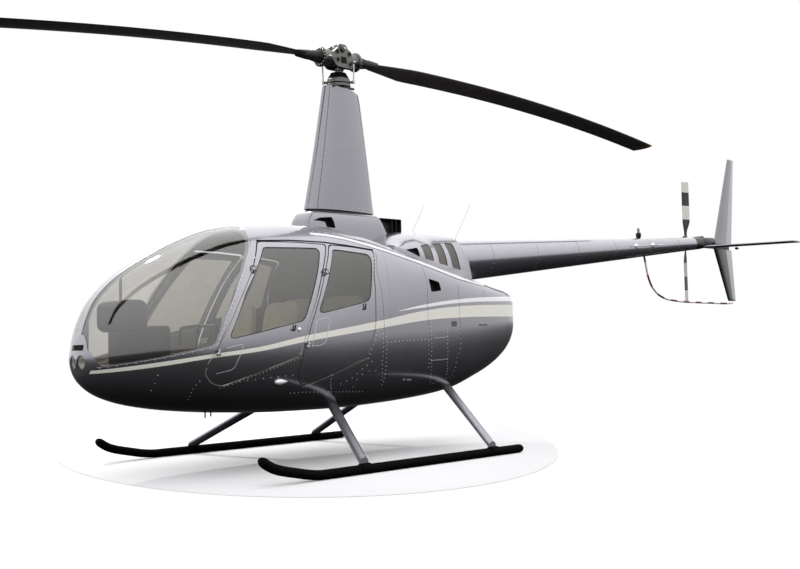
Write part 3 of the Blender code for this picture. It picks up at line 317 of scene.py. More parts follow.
def swept(path: Array, normals: Array, profile: Outline, closed: bool = False) -> MeshData:
    """A profile of (across, outward) pairs carried along a path that has a normal at each point."""
    tangents = np.roll(path, -1, 0) - np.roll(path, 1, 0) if closed else np.gradient(path, axis=0)
    across = normed(np.cross(tangents, normals))
    x, y = np.asarray(profile, float).T[..., None]
    rings = path[:, None] + x * across[:, None] + y * normals[:, None]
    return torus(rings) if closed else loft(rings)


def bead_profile(width: float, rise: float, steps: int = 6, root: float = 0.001) -> list[tuple[float, float]]:
    """Half an ellipse, width across and rise high, with a root below the surface."""
    turn = np.linspace(0.0, math.pi, steps + 1)
    arc = [(width / 2.0 * math.cos(t), rise * math.sin(t)) for t in turn]
    return [*arc, (-width / 2.0, -root), (width / 2.0, -root)]


def resampled(path: Array, spacing: float) -> Array:
    """Points spaced evenly by length along a polyline, near the asked spacing."""
    pts = np.asarray(path, float)
    reach = np.concatenate([[0.0], np.cumsum(np.linalg.norm(np.diff(pts, axis=0), axis=1))])
    count = max(2, int(round(reach[-1] / spacing)) + 1)
    at = np.linspace(0.0, reach[-1], count)
    return np.stack([np.interp(at, reach, pts[:, k]) for k in range(pts.shape[1])], -1)


def rivets(points: Array, normals: Array, radius: float = 0.0045, height: float = 0.002) -> MeshData:
    """Low domes on a surface: two rings of six points and a crown on each, closed below."""
    sides, sink, root, shoulder = 6, 0.0004, 0.0006, 0.7
    a = normed(np.cross(normals, helper_axis(normals)))
    b = np.cross(normals, a)
    turn = full_turn(sides)[None, :, None]
    ring = radius * (np.cos(turn) * a[:, None] + np.sin(turn) * b[:, None])
    at, up = points[:, None], normals[:, None]
    dome = [at + ring - sink * up, at + shoulder * (ring + height * up), at + height * up, at - root * up]
    every = np.concatenate(dome, axis=1)
    i = np.arange(sides)
    j = (i + 1) % sides
    crown, middle = np.full(sides, 2 * sides), np.full(sides, 2 * sides + 1)
    quads = np.stack([i, j, j + sides, i + sides], -1)
    tris = np.vstack([np.stack([i + sides, j + sides, crown], -1), np.stack([j, i, middle], -1)])
    starts = (np.arange(len(points)) * (2 * sides + 2))[:, None, None]
    return outward(MeshData(every.reshape(-1, 3), (quads[None] + starts).reshape(-1, 4),
                            (tris[None] + starts).reshape(-1, 3)))


@dataclass(frozen=True)
class Frame:
    """A place and three unit axes; local coordinates run along the axes."""

    origin: Point
    axes: tuple[Point, ...]

    def point(self, *local: float) -> Array:
        """One local point in mast coordinates."""
        return np.asarray(self.origin) + np.asarray(local, float) @ np.asarray(self.axes)

    def vector(self, *local: float) -> Array:
        """One local direction in mast coordinates."""
        return np.asarray(local, float) @ np.asarray(self.axes)

    def mesh(self, local: MeshData) -> MeshData:
        """A mesh in local coordinates moved to mast coordinates, faces outwards."""
        moved = np.asarray(self.origin) + local.points @ np.asarray(self.axes)
        return MeshData(moved, local.quads, local.tris)


# Shader tools


def linear(code: str) -> tuple[float, float, float, float]:
    """Linear colour of an sRGB hex value, by the standard's two-part curve."""
    parts = [int(code[i:i + 2], 16) / 255.0 for i in (1, 3, 5)]
    low, slope, lift, power = 0.04045, 12.92, 0.055, 2.4
    out = [p / slope if p <= low else ((p + lift) / (1.0 + lift)) ** power for p in parts]
    return (out[0], out[1], out[2], 1.0)


Inputs = Sequence[object] | dict[str | int, object]


def node(tree: Tree, kind: str, inputs: Inputs = (), output: int | str = 0,
         **settings: object) -> Socket | None:
    """Add one shader node with its settings, give its inputs values or links, and hand back one output.

    Args:
        tree: The node tree.
        kind: Type of node, as in Blender's name after "ShaderNode".
        inputs: Value, or socket to link, by input name or index, or in the order of the inputs.
        output: Name or index of the output wanted.
        settings: Attribute values of the node.

    Returns:
        The output socket, or None for a node without outputs.
    """
    made = tree.nodes.new("ShaderNode" + kind)
    for key, value in settings.items():
        setattr(made, key, value)
    for key, value in inputs.items() if isinstance(inputs, dict) else enumerate(inputs):
        if isinstance(value, Socket):
            tree.links.new(value, made.inputs[key])
        else:
            made.inputs[key].default_value = value
    return made.outputs[output] if made.outputs else None


def new_material(name: str) -> tuple[Material, Tree, bpy.types.Node]:
    """A material with one Principled shader, its tree and that shader."""
    made = bpy.data.materials.new(name)
    made.use_nodes = True
    return made, made.node_tree, made.node_tree.nodes["Principled BSDF"]


def set_line(curve: bpy.types.Node, spots: Outline) -> None:
    """Run a Float Curve through spots that go from 0 to 1, left to right."""
    line = curve.mapping.curves[0]
    line.points[0].location, line.points[1].location = spots[0], spots[-1]
    for spot in spots[1:-1]:
        line.points.new(*spot)
    curve.mapping.update()


@dataclass(frozen=True)
class Stripe:
    """A painted stripe on the sides: top and bottom edges as (x, z) points, fore end and colour."""

    top: Outline
    bottom: Outline
    fore: float
    colour: str
    lowest: float = 0.5
    highest: float = 1.5

    def edge(self, tree: Tree, x: Socket, points: Outline) -> Socket:
        """Height of an edge at world X, as a Float Curve between the lowest and the highest level."""
        ends = sorted(points)[0][0] + MAST_X, sorted(points)[-1][0] + MAST_X
        share = node(tree, "MapRange", {"Value": x, "From Min": ends[0], "From Max": ends[1]})
        curve = node(tree, "FloatCurve", {"Value": share})
        rise = self.highest - self.lowest
        set_line(curve.node, [((px + MAST_X - ends[0]) / (ends[1] - ends[0]), (pz - self.lowest) / rise)
                              for px, pz in sorted(points)])
        return node(tree, "Math", (curve, rise, self.lowest), operation="MULTIPLY_ADD")

    def mask(self, tree: Tree, x: Socket, z: Socket) -> Socket:
        """One between the stripe's edges and behind its fore end, softened over 1.5 mm."""
        soft = 1.5 * MM
        above = node(tree, "Math", (z, self.edge(tree, x, self.bottom)), operation="SUBTRACT")
        below = node(tree, "Math", (self.edge(tree, x, self.top), z), operation="SUBTRACT")
        behind = node(tree, "Math", (self.fore + MAST_X, x), operation="SUBTRACT")
        least = node(tree, "Math", (node(tree, "Math", (above, below), operation="MINIMUM"), behind),
                     operation="MINIMUM")
        return node(tree, "Math", (least, 1.0 / soft, 0.5), operation="MULTIPLY_ADD", use_clamp=True)


CREAM_STRIPE = Stripe(
    top=((2.389, 0.793), (2.095, 0.835), (1.708, 0.889), (1.370, 0.930), (0.974, 1.004), (0.679, 1.046),
         (0.193, 1.118), (-0.280, 1.192), (-0.728, 1.233), (-1.430, 1.257), (-1.85, 1.262)),
    bottom=((2.384, 0.771), (2.092, 0.806), (1.707, 0.861), (1.370, 0.898), (0.975, 0.960), (0.311, 1.042),
            (-0.277, 1.112), (-0.724, 1.137), (-1.423, 1.150), (-1.85, 1.152)),
    fore=2.392, colour="#EDEBE0")
WHITE_STRIPE = Stripe(
    top=((0.019, 1.191), (-0.282, 1.242), (-0.731, 1.293), (-1.442, 1.331), (-1.85, 1.340)),
    bottom=((0.019, 1.189), (-0.281, 1.220), (-0.729, 1.262), (-1.433, 1.290), (-1.85, 1.296)),
    fore=0.019, colour="#FAFAFB")


@dataclass(frozen=True)
class MetallicPaint:
    """Charcoal base coat with fine aluminium flake under clear lacquer, sprayed and polished.

    Flake makes the lit side silvery and lets the belly fall to black; lacquer gives a sharp second gloss.
    """

    name: str = "charcoal_metallic_lacquer"
    base: str = "#99979D"
    striped: bool = True
    metallic: float = 0.85
    roughness: float = 0.16
    flake_mm: float = 1.2
    dust_mm: float = 260.0
    peel_mm: float = 9.0
    # Colour of the painted shade on a fin's fore part; none if empty
    fore: str = ""
    contrast: float = 0.10
    coat: float = 0.6
    coat_roughness: float = 0.06
    peel_depth_mm: float = 0.02

    def build(self) -> Material:
        """The material: flake and dust noise and the stripes as colour; a lacquer coat over a metal base."""
        made, tree, shader = new_material(self.name)
        place = node(tree, "TexCoord", output="Object")
        x, z = (node(tree, "SeparateXYZ", (place,), axis) for axis in (0, 2))
        flake = node(tree, "TexNoise", {"Vector": place, "Scale": 1.0 / (self.flake_mm * MM), "Detail": 1.0})
        dusty = node(tree, "TexNoise", {"Vector": place, "Scale": 1.0 / (self.dust_mm * MM), "Detail": 4.0})
        tone = node(tree, "Math", (flake, self.contrast, 1.0 - self.contrast), operation="MULTIPLY_ADD")
        tone = node(tree, "Math", (dusty, self.contrast, tone), operation="MULTIPLY_ADD")
        colour = node(tree, "VectorMath", {0: linear(self.base)[:3], "Scale": tone}, operation="SCALE")
        metal = self.metallic
        for stripe in (CREAM_STRIPE, WHITE_STRIPE) if self.striped else ():
            mask = stripe.mask(tree, x, z)
            colour = node(tree, "Mix", {0: mask, 6: colour, 7: linear(stripe.colour)}, 2, data_type="RGBA")
            bare = node(tree, "Math", (1.0, mask), operation="SUBTRACT")
            metal = node(tree, "Math", (bare, metal), operation="MULTIPLY")
        # A fin's fore part darkened as painted shade
        if self.fore:
            mask = self.ahead_of_ridge(tree, x, z)
            colour = node(tree, "Mix", {0: mask, 6: colour, 7: linear(self.fore)}, 2, data_type="RGBA")
        if self.striped:
            tree.links.new(metal, shader.inputs["Metallic"])
        else:
            shader.inputs["Metallic"].default_value = metal
        tree.links.new(colour, shader.inputs["Base Color"])
        rough = node(tree, "Math", (dusty, self.contrast, self.roughness), operation="MULTIPLY_ADD")
        tree.links.new(rough, shader.inputs["Roughness"])
        shader.inputs["Coat Weight"].default_value = self.coat
        shader.inputs["Coat Roughness"].default_value = self.coat_roughness
        peel = node(tree, "TexNoise", {"Vector": place, "Scale": 1.0 / (self.peel_mm * MM), "Detail": 1.0})
        bent = node(tree, "Bump", {"Height": peel, "Distance": self.peel_depth_mm * MM})
        tree.links.new(bent, shader.inputs["Normal"])
        return made

    @staticmethod
    def ahead_of_ridge(tree: Tree, x: Socket, z: Socket) -> Socket:
        """One ahead of the ridge on both fins, which leans aft away from the boom's height, softly ended: the
        fore part that gets painted shade.
        """
        boom_x, boom_z, lean, soft = -6.406, 2.05, 0.22, 12.0 * MM
        level = node(tree, "Math", (z, boom_z), operation="SUBTRACT")
        far = node(tree, "Math", (level,), operation="ABSOLUTE")
        ridge = node(tree, "Math", (far, -lean, MAST_X + boom_x), operation="MULTIPLY_ADD")
        ahead = node(tree, "Math", (x, ridge), operation="SUBTRACT")
        return node(tree, "Math", (ahead, 1.0 / soft, 0.5), operation="MULTIPLY_ADD", use_clamp=True)


@dataclass(frozen=True)
class Plain:
    """One finish given by its colour, gloss and grain: paint, rubber, plastic or metal."""

    name: str
    colour: str
    roughness: float = 0.5
    metallic: float = 0.0
    grain_mm: float = 3.0
    grain_depth_mm: float = 0.05
    mottle: float = 0.12
    coat: float = 0.0
    specular: float = 0.5
    coat_roughness: float = 0.08
    gloss_spread: float = 0.16
    patch_grains: float = 40.0

    def build(self) -> Material:
        """The material: colour mottled by broad noise, roughness varied with it, fine grain as bump."""
        made, tree, shader = new_material(self.name)
        place = node(tree, "TexCoord", output="Object")
        per_metre = 1.0 / (self.patch_grains * self.grain_mm * MM)
        broad = node(tree, "TexNoise", {"Vector": place, "Scale": per_metre, "Detail": 4.0, "Roughness": 0.6})
        tone = node(tree, "Math", (broad, 2.0 * self.mottle, 1.0 - self.mottle), operation="MULTIPLY_ADD")
        colour = node(tree, "VectorMath", {0: linear(self.colour)[:3], "Scale": tone}, operation="SCALE")
        tree.links.new(colour, shader.inputs["Base Color"])
        shader.inputs["Metallic"].default_value = self.metallic
        shader.inputs["Specular IOR Level"].default_value = self.specular
        rough = node(tree, "Math", (broad, self.gloss_spread, self.roughness - self.gloss_spread / 2.0),
                     operation="MULTIPLY_ADD", use_clamp=True)
        tree.links.new(rough, shader.inputs["Roughness"])
        if self.coat:
            shader.inputs["Coat Weight"].default_value = self.coat
            shader.inputs["Coat Roughness"].default_value = self.coat_roughness
        fine = node(tree, "TexNoise", {"Vector": place, "Scale": 1.0 / (self.grain_mm * MM), "Detail": 2.0})
        bent = node(tree, "Bump", {"Height": fine, "Distance": self.grain_depth_mm * MM})
        tree.links.new(bent, shader.inputs["Normal"])
        return made


@dataclass(frozen=True)
class TintedAcrylic:
    """Cast acrylic, tinted and blown smooth: see-through, with a clear gloss that grows as it slants away."""

    name: str = "grey_tinted_acrylic"
    tint: str = "#CCCAC4"
    base_gloss: float = 0.085
    edge_gloss: float = 0.80
    haze: float = 0.03

    def build(self) -> Material:
        """The material: a tinted see-through layer under a mirror, weighed by base + edge (1 - cos)^5."""
        made, tree, shader = new_material(self.name)
        tree.nodes.remove(shader)
        clear = node(tree, "BsdfTransparent", {"Color": linear(self.tint)})
        gloss = node(tree, "BsdfGlossy", {"Color": (1.0, 1.0, 1.0, 1.0), "Roughness": self.haze})
        facing = node(tree, "LayerWeight", {"Blend": 0.5}, "Facing")
        fifth = node(tree, "Math", (facing, 5.0), operation="POWER")
        share = node(tree, "Math", (fifth, self.edge_gloss, self.base_gloss), operation="MULTIPLY_ADD")
        mix = node(tree, "MixShader", (share, clear, gloss))
        tree.links.new(mix, tree.nodes["Material Output"].inputs["Surface"])
        return made


@dataclass(frozen=True)
class WireMesh:
    """Woven wire screen over the louvres, oxidised: a dark grid that breaks up the light.

    Real wires stand 3 mm apart; they are drawn 12 mm apart, so that they show at the picture's size.
    """

    name: str = "woven_wire_screen"
    wire: str = "#77736F"
    # Colour between the wires: painted shade of the dark opening behind
    gap: str = "#45413F"
    pitch_mm: float = 12.0
    rise_mm: float = 1.0
    metallic: float = 0.4
    roughness: float = 0.6

    def build(self) -> Material:
        """The material: two sets of bands across each other pick wire or gap."""
        made, tree, shader = new_material(self.name)
        place = node(tree, "TexCoord", output="Object")
        turns, steepness, width = 2.0 * math.pi / (self.pitch_mm * MM), 1.5, 0.2
        bands = []
        for axis in (0, 2):
            along = node(tree, "SeparateXYZ", (place,), axis)
            angle = node(tree, "Math", (along, turns), operation="MULTIPLY")
            bands.append(node(tree, "Math", (angle,), operation="SINE"))
        high = node(tree, "Math", bands, operation="MAXIMUM")
        top = node(tree, "Math", (high, steepness, width), operation="MULTIPLY_ADD", use_clamp=True)
        colour = node(tree, "Mix", {0: top, 6: linear(self.gap), 7: linear(self.wire)}, 2, data_type="RGBA")
        tree.links.new(colour, shader.inputs["Base Color"])
        bent = node(tree, "Bump", {"Height": top, "Distance": self.rise_mm * MM})
        tree.links.new(bent, shader.inputs["Normal"])
        shader.inputs["Metallic"].default_value = self.metallic
        shader.inputs["Roughness"].default_value = self.roughness
        return made


@dataclass(frozen=True)
class BandedPaint:
    """Black and white enamel in bands along the tail blades, so that the turning disc is seen.

    Bands are measured from the hub's height; radii are where black and white change.
    """

    name: str = "banded_tail_blade_enamel"
    light: str = "#E3E2D8"
    dark: str = "#262223"
    hub_z: float = 2.125
    edges: tuple[float, float, float] = (0.278, 0.4525, 0.624)
    wear_mm: float = 30.0
    wear: float = 0.2
    cleanest: float = 0.85
    roughness: float = 0.3

    def build(self) -> Material:
        """The material: the distance |z - hub| against the edges gives the band."""
        made, tree, shader = new_material(self.name)
        place = node(tree, "TexCoord", output="Object")
        high = node(tree, "Math", (node(tree, "SeparateXYZ", (place,), 2), self.hub_z), operation="SUBTRACT")
        far = node(tree, "Math", (high,), operation="ABSOLUTE")
        steps = [node(tree, "Math", (far, edge), operation="GREATER_THAN") for edge in self.edges]
        inner = node(tree, "Math", steps[:2], operation="SUBTRACT")
        white = node(tree, "Math", (inner, steps[2]), operation="ADD")
        worn = node(tree, "TexNoise", {"Vector": place, "Scale": 1.0 / (self.wear_mm * MM), "Detail": 4.0})
        tone = node(tree, "Math", (worn, self.wear, self.cleanest), operation="MULTIPLY_ADD")
        shades = {0: white, 6: linear(self.dark), 7: linear(self.light)}
        colour = node(tree, "Mix", shades, 2, data_type="RGBA")
        toned = node(tree, "VectorMath", {0: colour, "Scale": tone}, operation="SCALE")
        tree.links.new(toned, shader.inputs["Base Color"])
        rough = node(tree, "Math", (worn, self.wear, self.roughness), operation="MULTIPLY_ADD")
        tree.links.new(rough, shader.inputs["Roughness"])
        return made


class Finish(Enum):
    """Every finish on the machine, with the record's slot that it belongs to."""

    # Sprayed flake, polished: silvery where the sky meets it, near black below, with sharp highlights
    PAINT = (MetallicPaint(), "body_paint")
    # The same coat without stripes: the tops of cowling and boom shine silver
    UPPER_PAINT = (MetallicPaint("silver_metallic_lacquer", "#9E9CA3", False), "body_paint")
    # A darker copy of the same coat: it stays darker than the cowling under the same sky
    MAST_PAINT = (MetallicPaint("silver_metallic_lacquer_weathered", "#87858B", False), "body_paint")
    # Fore parts darkened with a soft edge as painted shade: each fin reads as two planes that meet in a ridge
    UPPER_FIN_PAINT = (
        MetallicPaint("silver_metallic_lacquer_two_tone_fin", "#9E9CA3", False, fore="#7E7C80"),
        "body_paint")
    LOWER_FIN_PAINT = (
        MetallicPaint("silver_metallic_lacquer_dark_fore_fin", "#9E9CA3", False, fore="#484546"),
        "body_paint")
    # Tinted in the cast: the cabin shows dimmed through the doors
    ACRYLIC = (TintedAcrylic(), "glazing")
    # Cast almost clear: the seats show nearly in their own colours
    SCREEN = (TintedAcrylic("clear_acrylic_windscreen", "#E8E7E5", 0.075), "glazing")
    # Extruded, with fine grain: a soft dark line round each pane
    RUBBER = (Plain("black_epdm_rubber_seal", "#141415", 0.62, grain_mm=1.0), "black_trim")
    # Baked on, slightly rippled: small soft highlights on dark fittings
    BLACK_PAINT = (Plain("satin_black_powder_coat", "#0E0E0F", 0.38, grain_mm=2.0, grain_depth_mm=0.03),
                   "black_trim")
    # Brushed on and scuffed by gravel: hardly any gloss, so that the skids are plain black lines
    SKID_BLACK = (Plain("black_epoxy_paint_worn", "#0A0A0A", 0.75, grain_mm=4.0, mottle=0.3, specular=0.03),
                  "skid_black")
    # Embossed hide: bright cushions with soft shading and a pebbled grain
    LEATHER = (Plain("cream_grained_leather", "#EDE9D6", 0.55, grain_mm=2.2, grain_depth_mm=0.35),
               "cabin_leather")
    # Woven and stretched flat: warm grey without highlights, calm behind the glass
    LINING = (Plain("warm_grey_lining_fabric", "#84807C", 0.9, grain_mm=2.0, grain_depth_mm=0.3),
              "cabin_leather")
    # Looped pile: a dark floor that drops back behind the seats
    CARPET = (Plain("grey_looped_carpet", "#33312E", 0.95, grain_mm=3.0, grain_depth_mm=1.2), "black_trim")
    # Moulded with a fine texture: pale boxes with broad soft highlights
    PLASTIC = (Plain("grey_moulded_abs", "#A09E99", 0.5, grain_mm=1.5, grain_depth_mm=0.1), "black_trim")
    # Soft coating over a moulding: a dark shape behind the windscreen that mirrors nothing
    HOOD = (Plain("black_soft_touch_hood", "#2C2B2A", 0.7, grain_mm=1.5, grain_depth_mm=0.1), "black_trim")
    # Turned and milled: tight bright highlights on bolts and rods
    ALUMINIUM = (Plain("machined_aluminium", "#B9B8B6", 0.33, 1.0, grain_mm=0.8), "bare_metal")
    # Aluminium film on a pressed bowl, less metallic than a real one, so that the lamps show bright
    CHROME = (Plain("aluminised_reflector", "#F4F4F6", 0.40, 0.45, grain_mm=6.0, mottle=0.02), "bare_metal")
    # Sand-cast and oiled: blotchy grey, dull in the hollows
    STEEL = (Plain("oiled_steel_casting", "#6E6C69", 0.42, 1.0, grain_mm=2.5, mottle=0.25), "bare_metal")
    # Cast and left rough: a dull sheen
    ENGINE = (Plain("grey_cast_crankcase", "#5C5B59", 0.6, 0.6, grain_mm=4.0), "bare_metal")
    # Sprayed enamel: light struts with one clear highlight along each
    LEG_PAINT = (Plain("silver_grey_leg_enamel", "#94939A", 0.26, 0.7, grain_mm=3.0, coat=0.3), "bare_metal")
    # Rolled-on matt paint worn by rain: blades that stay even and dark against the sky
    BLADE_PAINT = (Plain("dark_grey_blade_paint", "#5D5753", 0.5, 0.1, mottle=0.18), "blade_paint")
    # Sprayed and kept clean: bright bands and rods
    WHITE = (Plain("white_enamel", "#E4E4DD", 0.35, grain_mm=2.0, mottle=0.05), "white_enamel")
    # Sprayed between the white bands: a dark red that sets them apart
    RED = (Plain("signal_red_enamel", "#6E1F22", 0.4, grain_mm=2.0, mottle=0.08), "white_enamel")
    # Drawn and left bare: thin pale rods with a faint sheen
    WHIP = (Plain("pale_glass_fibre_rod", "#D9D9DB", 0.4, grain_mm=2.0, mottle=0.04), "black_trim")
    # Near-black sheet as painted shade: it swallows light, so that openings look deep
    VOID = (Plain("soot_black_duct", "#040404", 0.9, grain_mm=5.0), "black_trim")
    # Squeezed in and wiped: thin dark lines where skins overlap
    SEAM = (Plain("dark_joint_sealant", "#2B2A2B", 0.6, grain_mm=2.0), "black_trim")
    # Pressed heads painted over, coloured light as painted highlight: rows of light specks
    RIVET = (Plain("painted_rivet_heads", "#C9C8CB", 0.30, 0.5, grain_mm=2.0), "body_paint")
    # A real rounded bead coloured near white as painted highlight: a bright rounded line along the shoulder
    LIGHT_TRIM = (Plain("polished_light_trim_enamel", "#E4E3E8", 0.20, 0.2, grain_mm=4.0, coat=0.5),
                  "body_paint")
    # Brushed over the caps: a warm mark at each blade's tip
    OCHRE = (Plain("ochre_blade_tip_paint", "#8A6A34", 0.5, grain_mm=3.0), "blade_paint")
    # Moulded and smoked: a dark lamp with a wet gloss
    BEACON = (Plain("smoked_lamp_glass", "#6F6B68", 0.15, grain_mm=4.0, coat=0.6), "white_enamel")
    # Woven and oxidised, with painted shade between the wires: a dark grid that breaks up the light
    MESH = (WireMesh(), "black_trim")
    # Sprayed in bands: the tail blades show their turning
    BANDED = (BandedPaint(), "blade_paint")

    @property
    def slot(self) -> str:
        """The record's material slot."""
        return self.value[1]

    def material(self) -> Material:
        """The Blender material, built the first time it is asked for."""
        name = self.value[0].name
        return bpy.data.materials.get(name) or self.value[0].build()


def raw_object(name: str, mesh: MeshData) -> Object:
    """An object at the origin from mesh data in mast coordinates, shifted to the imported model's frame."""
    data = bpy.data.meshes.new(name)
    points = (mesh.points + SHIFT).astype(np.float32)
    corners = np.concatenate([mesh.quads.ravel(), mesh.tris.ravel()]).astype(np.int32)
    quads, tris = np.arange(len(mesh.quads)) * 4, np.arange(len(mesh.tris)) * 3
    starts = np.concatenate([quads, len(mesh.quads) * 4 + tris])
    data.vertices.add(len(points))
    data.vertices.foreach_set("co", points.ravel())
    data.loops.add(len(corners))
    data.loops.foreach_set("vertex_index", corners)
    data.polygons.add(len(starts))
    data.polygons.foreach_set("loop_start", starts.astype(np.int32))
    data.update(calc_edges=True)
    data.validate()
    made = bpy.data.objects.new(name, data)
    bpy.context.scene.collection.objects.link(made)
    return made


def finish_object(made: Object, finish: Finish, body: str, replaces: Sequence[str] = (),
                  sharp: float = 35.0) -> Object:
    """Shade, dress and mount one object.

    Args:
        made: The object, in place.
        finish: Its finish.
        body: Name of the body that it rides on.
        replaces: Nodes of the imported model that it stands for.
        sharp: Angle in degrees past which an edge is shaded sharp.

    Returns:
        The same object.
    """
    made.data.shade_smooth()
    made.data.set_sharp_from_angle(angle=math.radians(sharp))
    made.data.materials.clear()
    made.data.materials.append(finish.material())
    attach(made, body)
    if replaces:
        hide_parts(*replaces)
    LOG.info("%s: %d faces on %s", made.name, len(made.data.polygons), body)
    return made


def piece(name: str, mesh: MeshData, finish: Finish, body: Body | str = Body.AIRFRAME,
          replaces: Sequence[str] = (), sharp: float = 35.0) -> Object:
    """One finished piece from mesh data; arguments as finish_object takes them."""
    rides = body.value if isinstance(body, Body) else body
    return finish_object(raw_object(name, mesh), finish, rides, replaces, sharp)


def side_piece(side: Side, name: str, mesh: MeshData, finish: Finish, body: Body | str = Body.AIRFRAME,
               node_name: str = "", sharp: float = 35.0) -> Object:
    """One finished piece of a side from the left one's mesh; the side's word ends its name and its node's."""
    replaces = (f"{node_name}_{side.word}",) if node_name else ()
    return piece(f"{name}_{side.word}", mesh.sided(side), finish, body, replaces, sharp)


def dress(name: str, finish: Finish) -> None:
    """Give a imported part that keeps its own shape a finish."""
    for place in bpy.data.objects[name].material_slots:
        place.material = finish.material()
    LOG.info("%s: packed shape kept, %s", name, finish.name.lower())


def apply_modifiers(made: Object) -> None:
    """Put the evaluated mesh in the object's place and drop its modifiers."""
    bpy.context.view_layer.update()
    graph = bpy.context.evaluated_depsgraph_get()
    data = bpy.data.meshes.new_from_object(made.evaluated_get(graph))
    old = made.data
    made.modifiers.clear()
    made.data = data
    bpy.data.meshes.remove(old)


def carve(made: Object, cutter: MeshData) -> None:
    """Cut an object with closed mesh data by an exact Boolean, and apply it."""
    tool = raw_object(made.name + "_tool", cutter)
    step = made.modifiers.new("carve", "BOOLEAN")
    step.operation = "DIFFERENCE"
    step.solver = "EXACT"
    step.object = tool
    apply_modifiers(made)
    data = tool.data
    bpy.data.objects.remove(tool)
    bpy.data.meshes.remove(data)


# Curves and outlines


class Track:
    """A smooth function through (x, value) points that never overshoots: cubic pieces with limited slopes."""

    def __init__(self, points: Outline) -> None:
        """Sort the points and work out the slope at each by the weighted harmonic mean of its neighbours."""
        spots = np.array(sorted(points), float)
        self.x, self.y = spots[:, 0], spots[:, 1]
        self.h = np.diff(self.x)
        d = np.diff(self.y) / self.h
        self.m = np.concatenate([d[:1], np.zeros(len(d) - 1), d[-1:]])
        first, second = 2 * self.h[1:] + self.h[:-1], self.h[1:] + 2 * self.h[:-1]
        same = d[:-1] * d[1:] > 0
        a, b = np.where(same, d[:-1], 1.0), np.where(same, d[1:], 1.0)
        self.m[1:-1] = np.where(same, (first + second) / (first / a + second / b), 0.0)

    def __call__(self, x: Array | float) -> Array:
        """Values at x, held constant past both ends."""
        t = np.clip(np.asarray(x, float), self.x[0], self.x[-1])
        i = np.clip(np.searchsorted(self.x, t) - 1, 0, len(self.h) - 1)
        s = (t - self.x[i]) / self.h[i]
        return ((1 + 2 * s) * (1 - s) ** 2 * self.y[i] + s * (1 - s) ** 2 * self.h[i] * self.m[i]
                + s * s * (3 - 2 * s) * self.y[i + 1] + s * s * (s - 1) * self.h[i] * self.m[i + 1])


def offset_outline(outline: Outline, distance: float) -> list[tuple[float, float]]:
    """A closed outline moved in by a distance, or out if it is negative: its lines shift, then meet again."""
    pts = np.asarray(outline, float)
    nxt = np.roll(pts, -1, 0)
    area = float((pts[:, 0] * nxt[:, 1] - nxt[:, 0] * pts[:, 1]).sum())
    d = nxt - pts
    way = normed(d)
    normal = np.stack([-way[:, 1], way[:, 0]], -1) * (distance if area > 0 else -distance)
    start = pts + normal
    before, along = np.roll(start, 1, 0), np.roll(d, 1, 0)
    cross = along[:, 0] * d[:, 1] - along[:, 1] * d[:, 0]
    gap = start - before
    t = (gap[:, 0] * d[:, 1] - gap[:, 1] * d[:, 0]) / np.where(np.abs(cross) < 1e-12, 1e-12, cross)
    return [tuple(p) for p in before + along * t[:, None]]


def rounded_outline(outline: Outline, radius: float, steps: int = 7) -> Array:
    """A closed outline whose corners are quadratic curves that start a radius before each corner.

    Args:
        outline: Corner points in order.
        radius: Distance from each corner where its curve starts, at most 0.45 of a side.
        steps: Points on each curve.

    Returns:
        Array of points in the same order.
    """
    pts = np.asarray(outline, float)
    a, b = (toward(pts, np.roll(pts, step, 0), radius) for step in (1, -1))
    s = np.linspace(0.0, 1.0, steps)[None, :, None]
    return quadratic(s, a[:, None], pts[:, None], b[:, None]).reshape(-1, 2)


def polar_radius(outline: Array, centre: Array, angles: Array) -> Array:
    """Distance from the centre to a closed outline along each angle: the farthest crossing of each ray."""
    a = outline - centre
    b = np.roll(a, -1, 0)
    ray = np.stack([np.cos(angles), np.sin(angles)], -1)[:, None, :]
    edge = (b - a)[None]
    det = ray[..., 0] * -edge[..., 1] + ray[..., 1] * edge[..., 0]
    safe = np.where(np.abs(det) < 1e-14, 1e-14, det)
    t = (a[None, :, 0] * -edge[..., 1] + a[None, :, 1] * edge[..., 0]) / safe
    u = (ray[..., 0] * a[None, :, 1] - ray[..., 1] * a[None, :, 0]) / safe
    inside = (u >= -1e-9) & (u <= 1 + 1e-9) & (t > 0) & (np.abs(det) > 1e-14)
    return np.where(inside, t, 0.0).max(1)


def shared_angles(outlines: Sequence[Array], centre: Array, count: int = 160) -> Array:
    """Evenly spread angles round a centre, with those of every outline's points added."""
    even = np.linspace(-math.pi, math.pi, count, endpoint=False)
    own = [np.arctan2(o[:, 1] - centre[1], o[:, 0] - centre[0]) for o in outlines]
    every = np.sort(np.concatenate([even, *own]))
    keep = np.concatenate([[True], np.diff(every) > 1e-3])
    return every[keep]


# The pod's surface


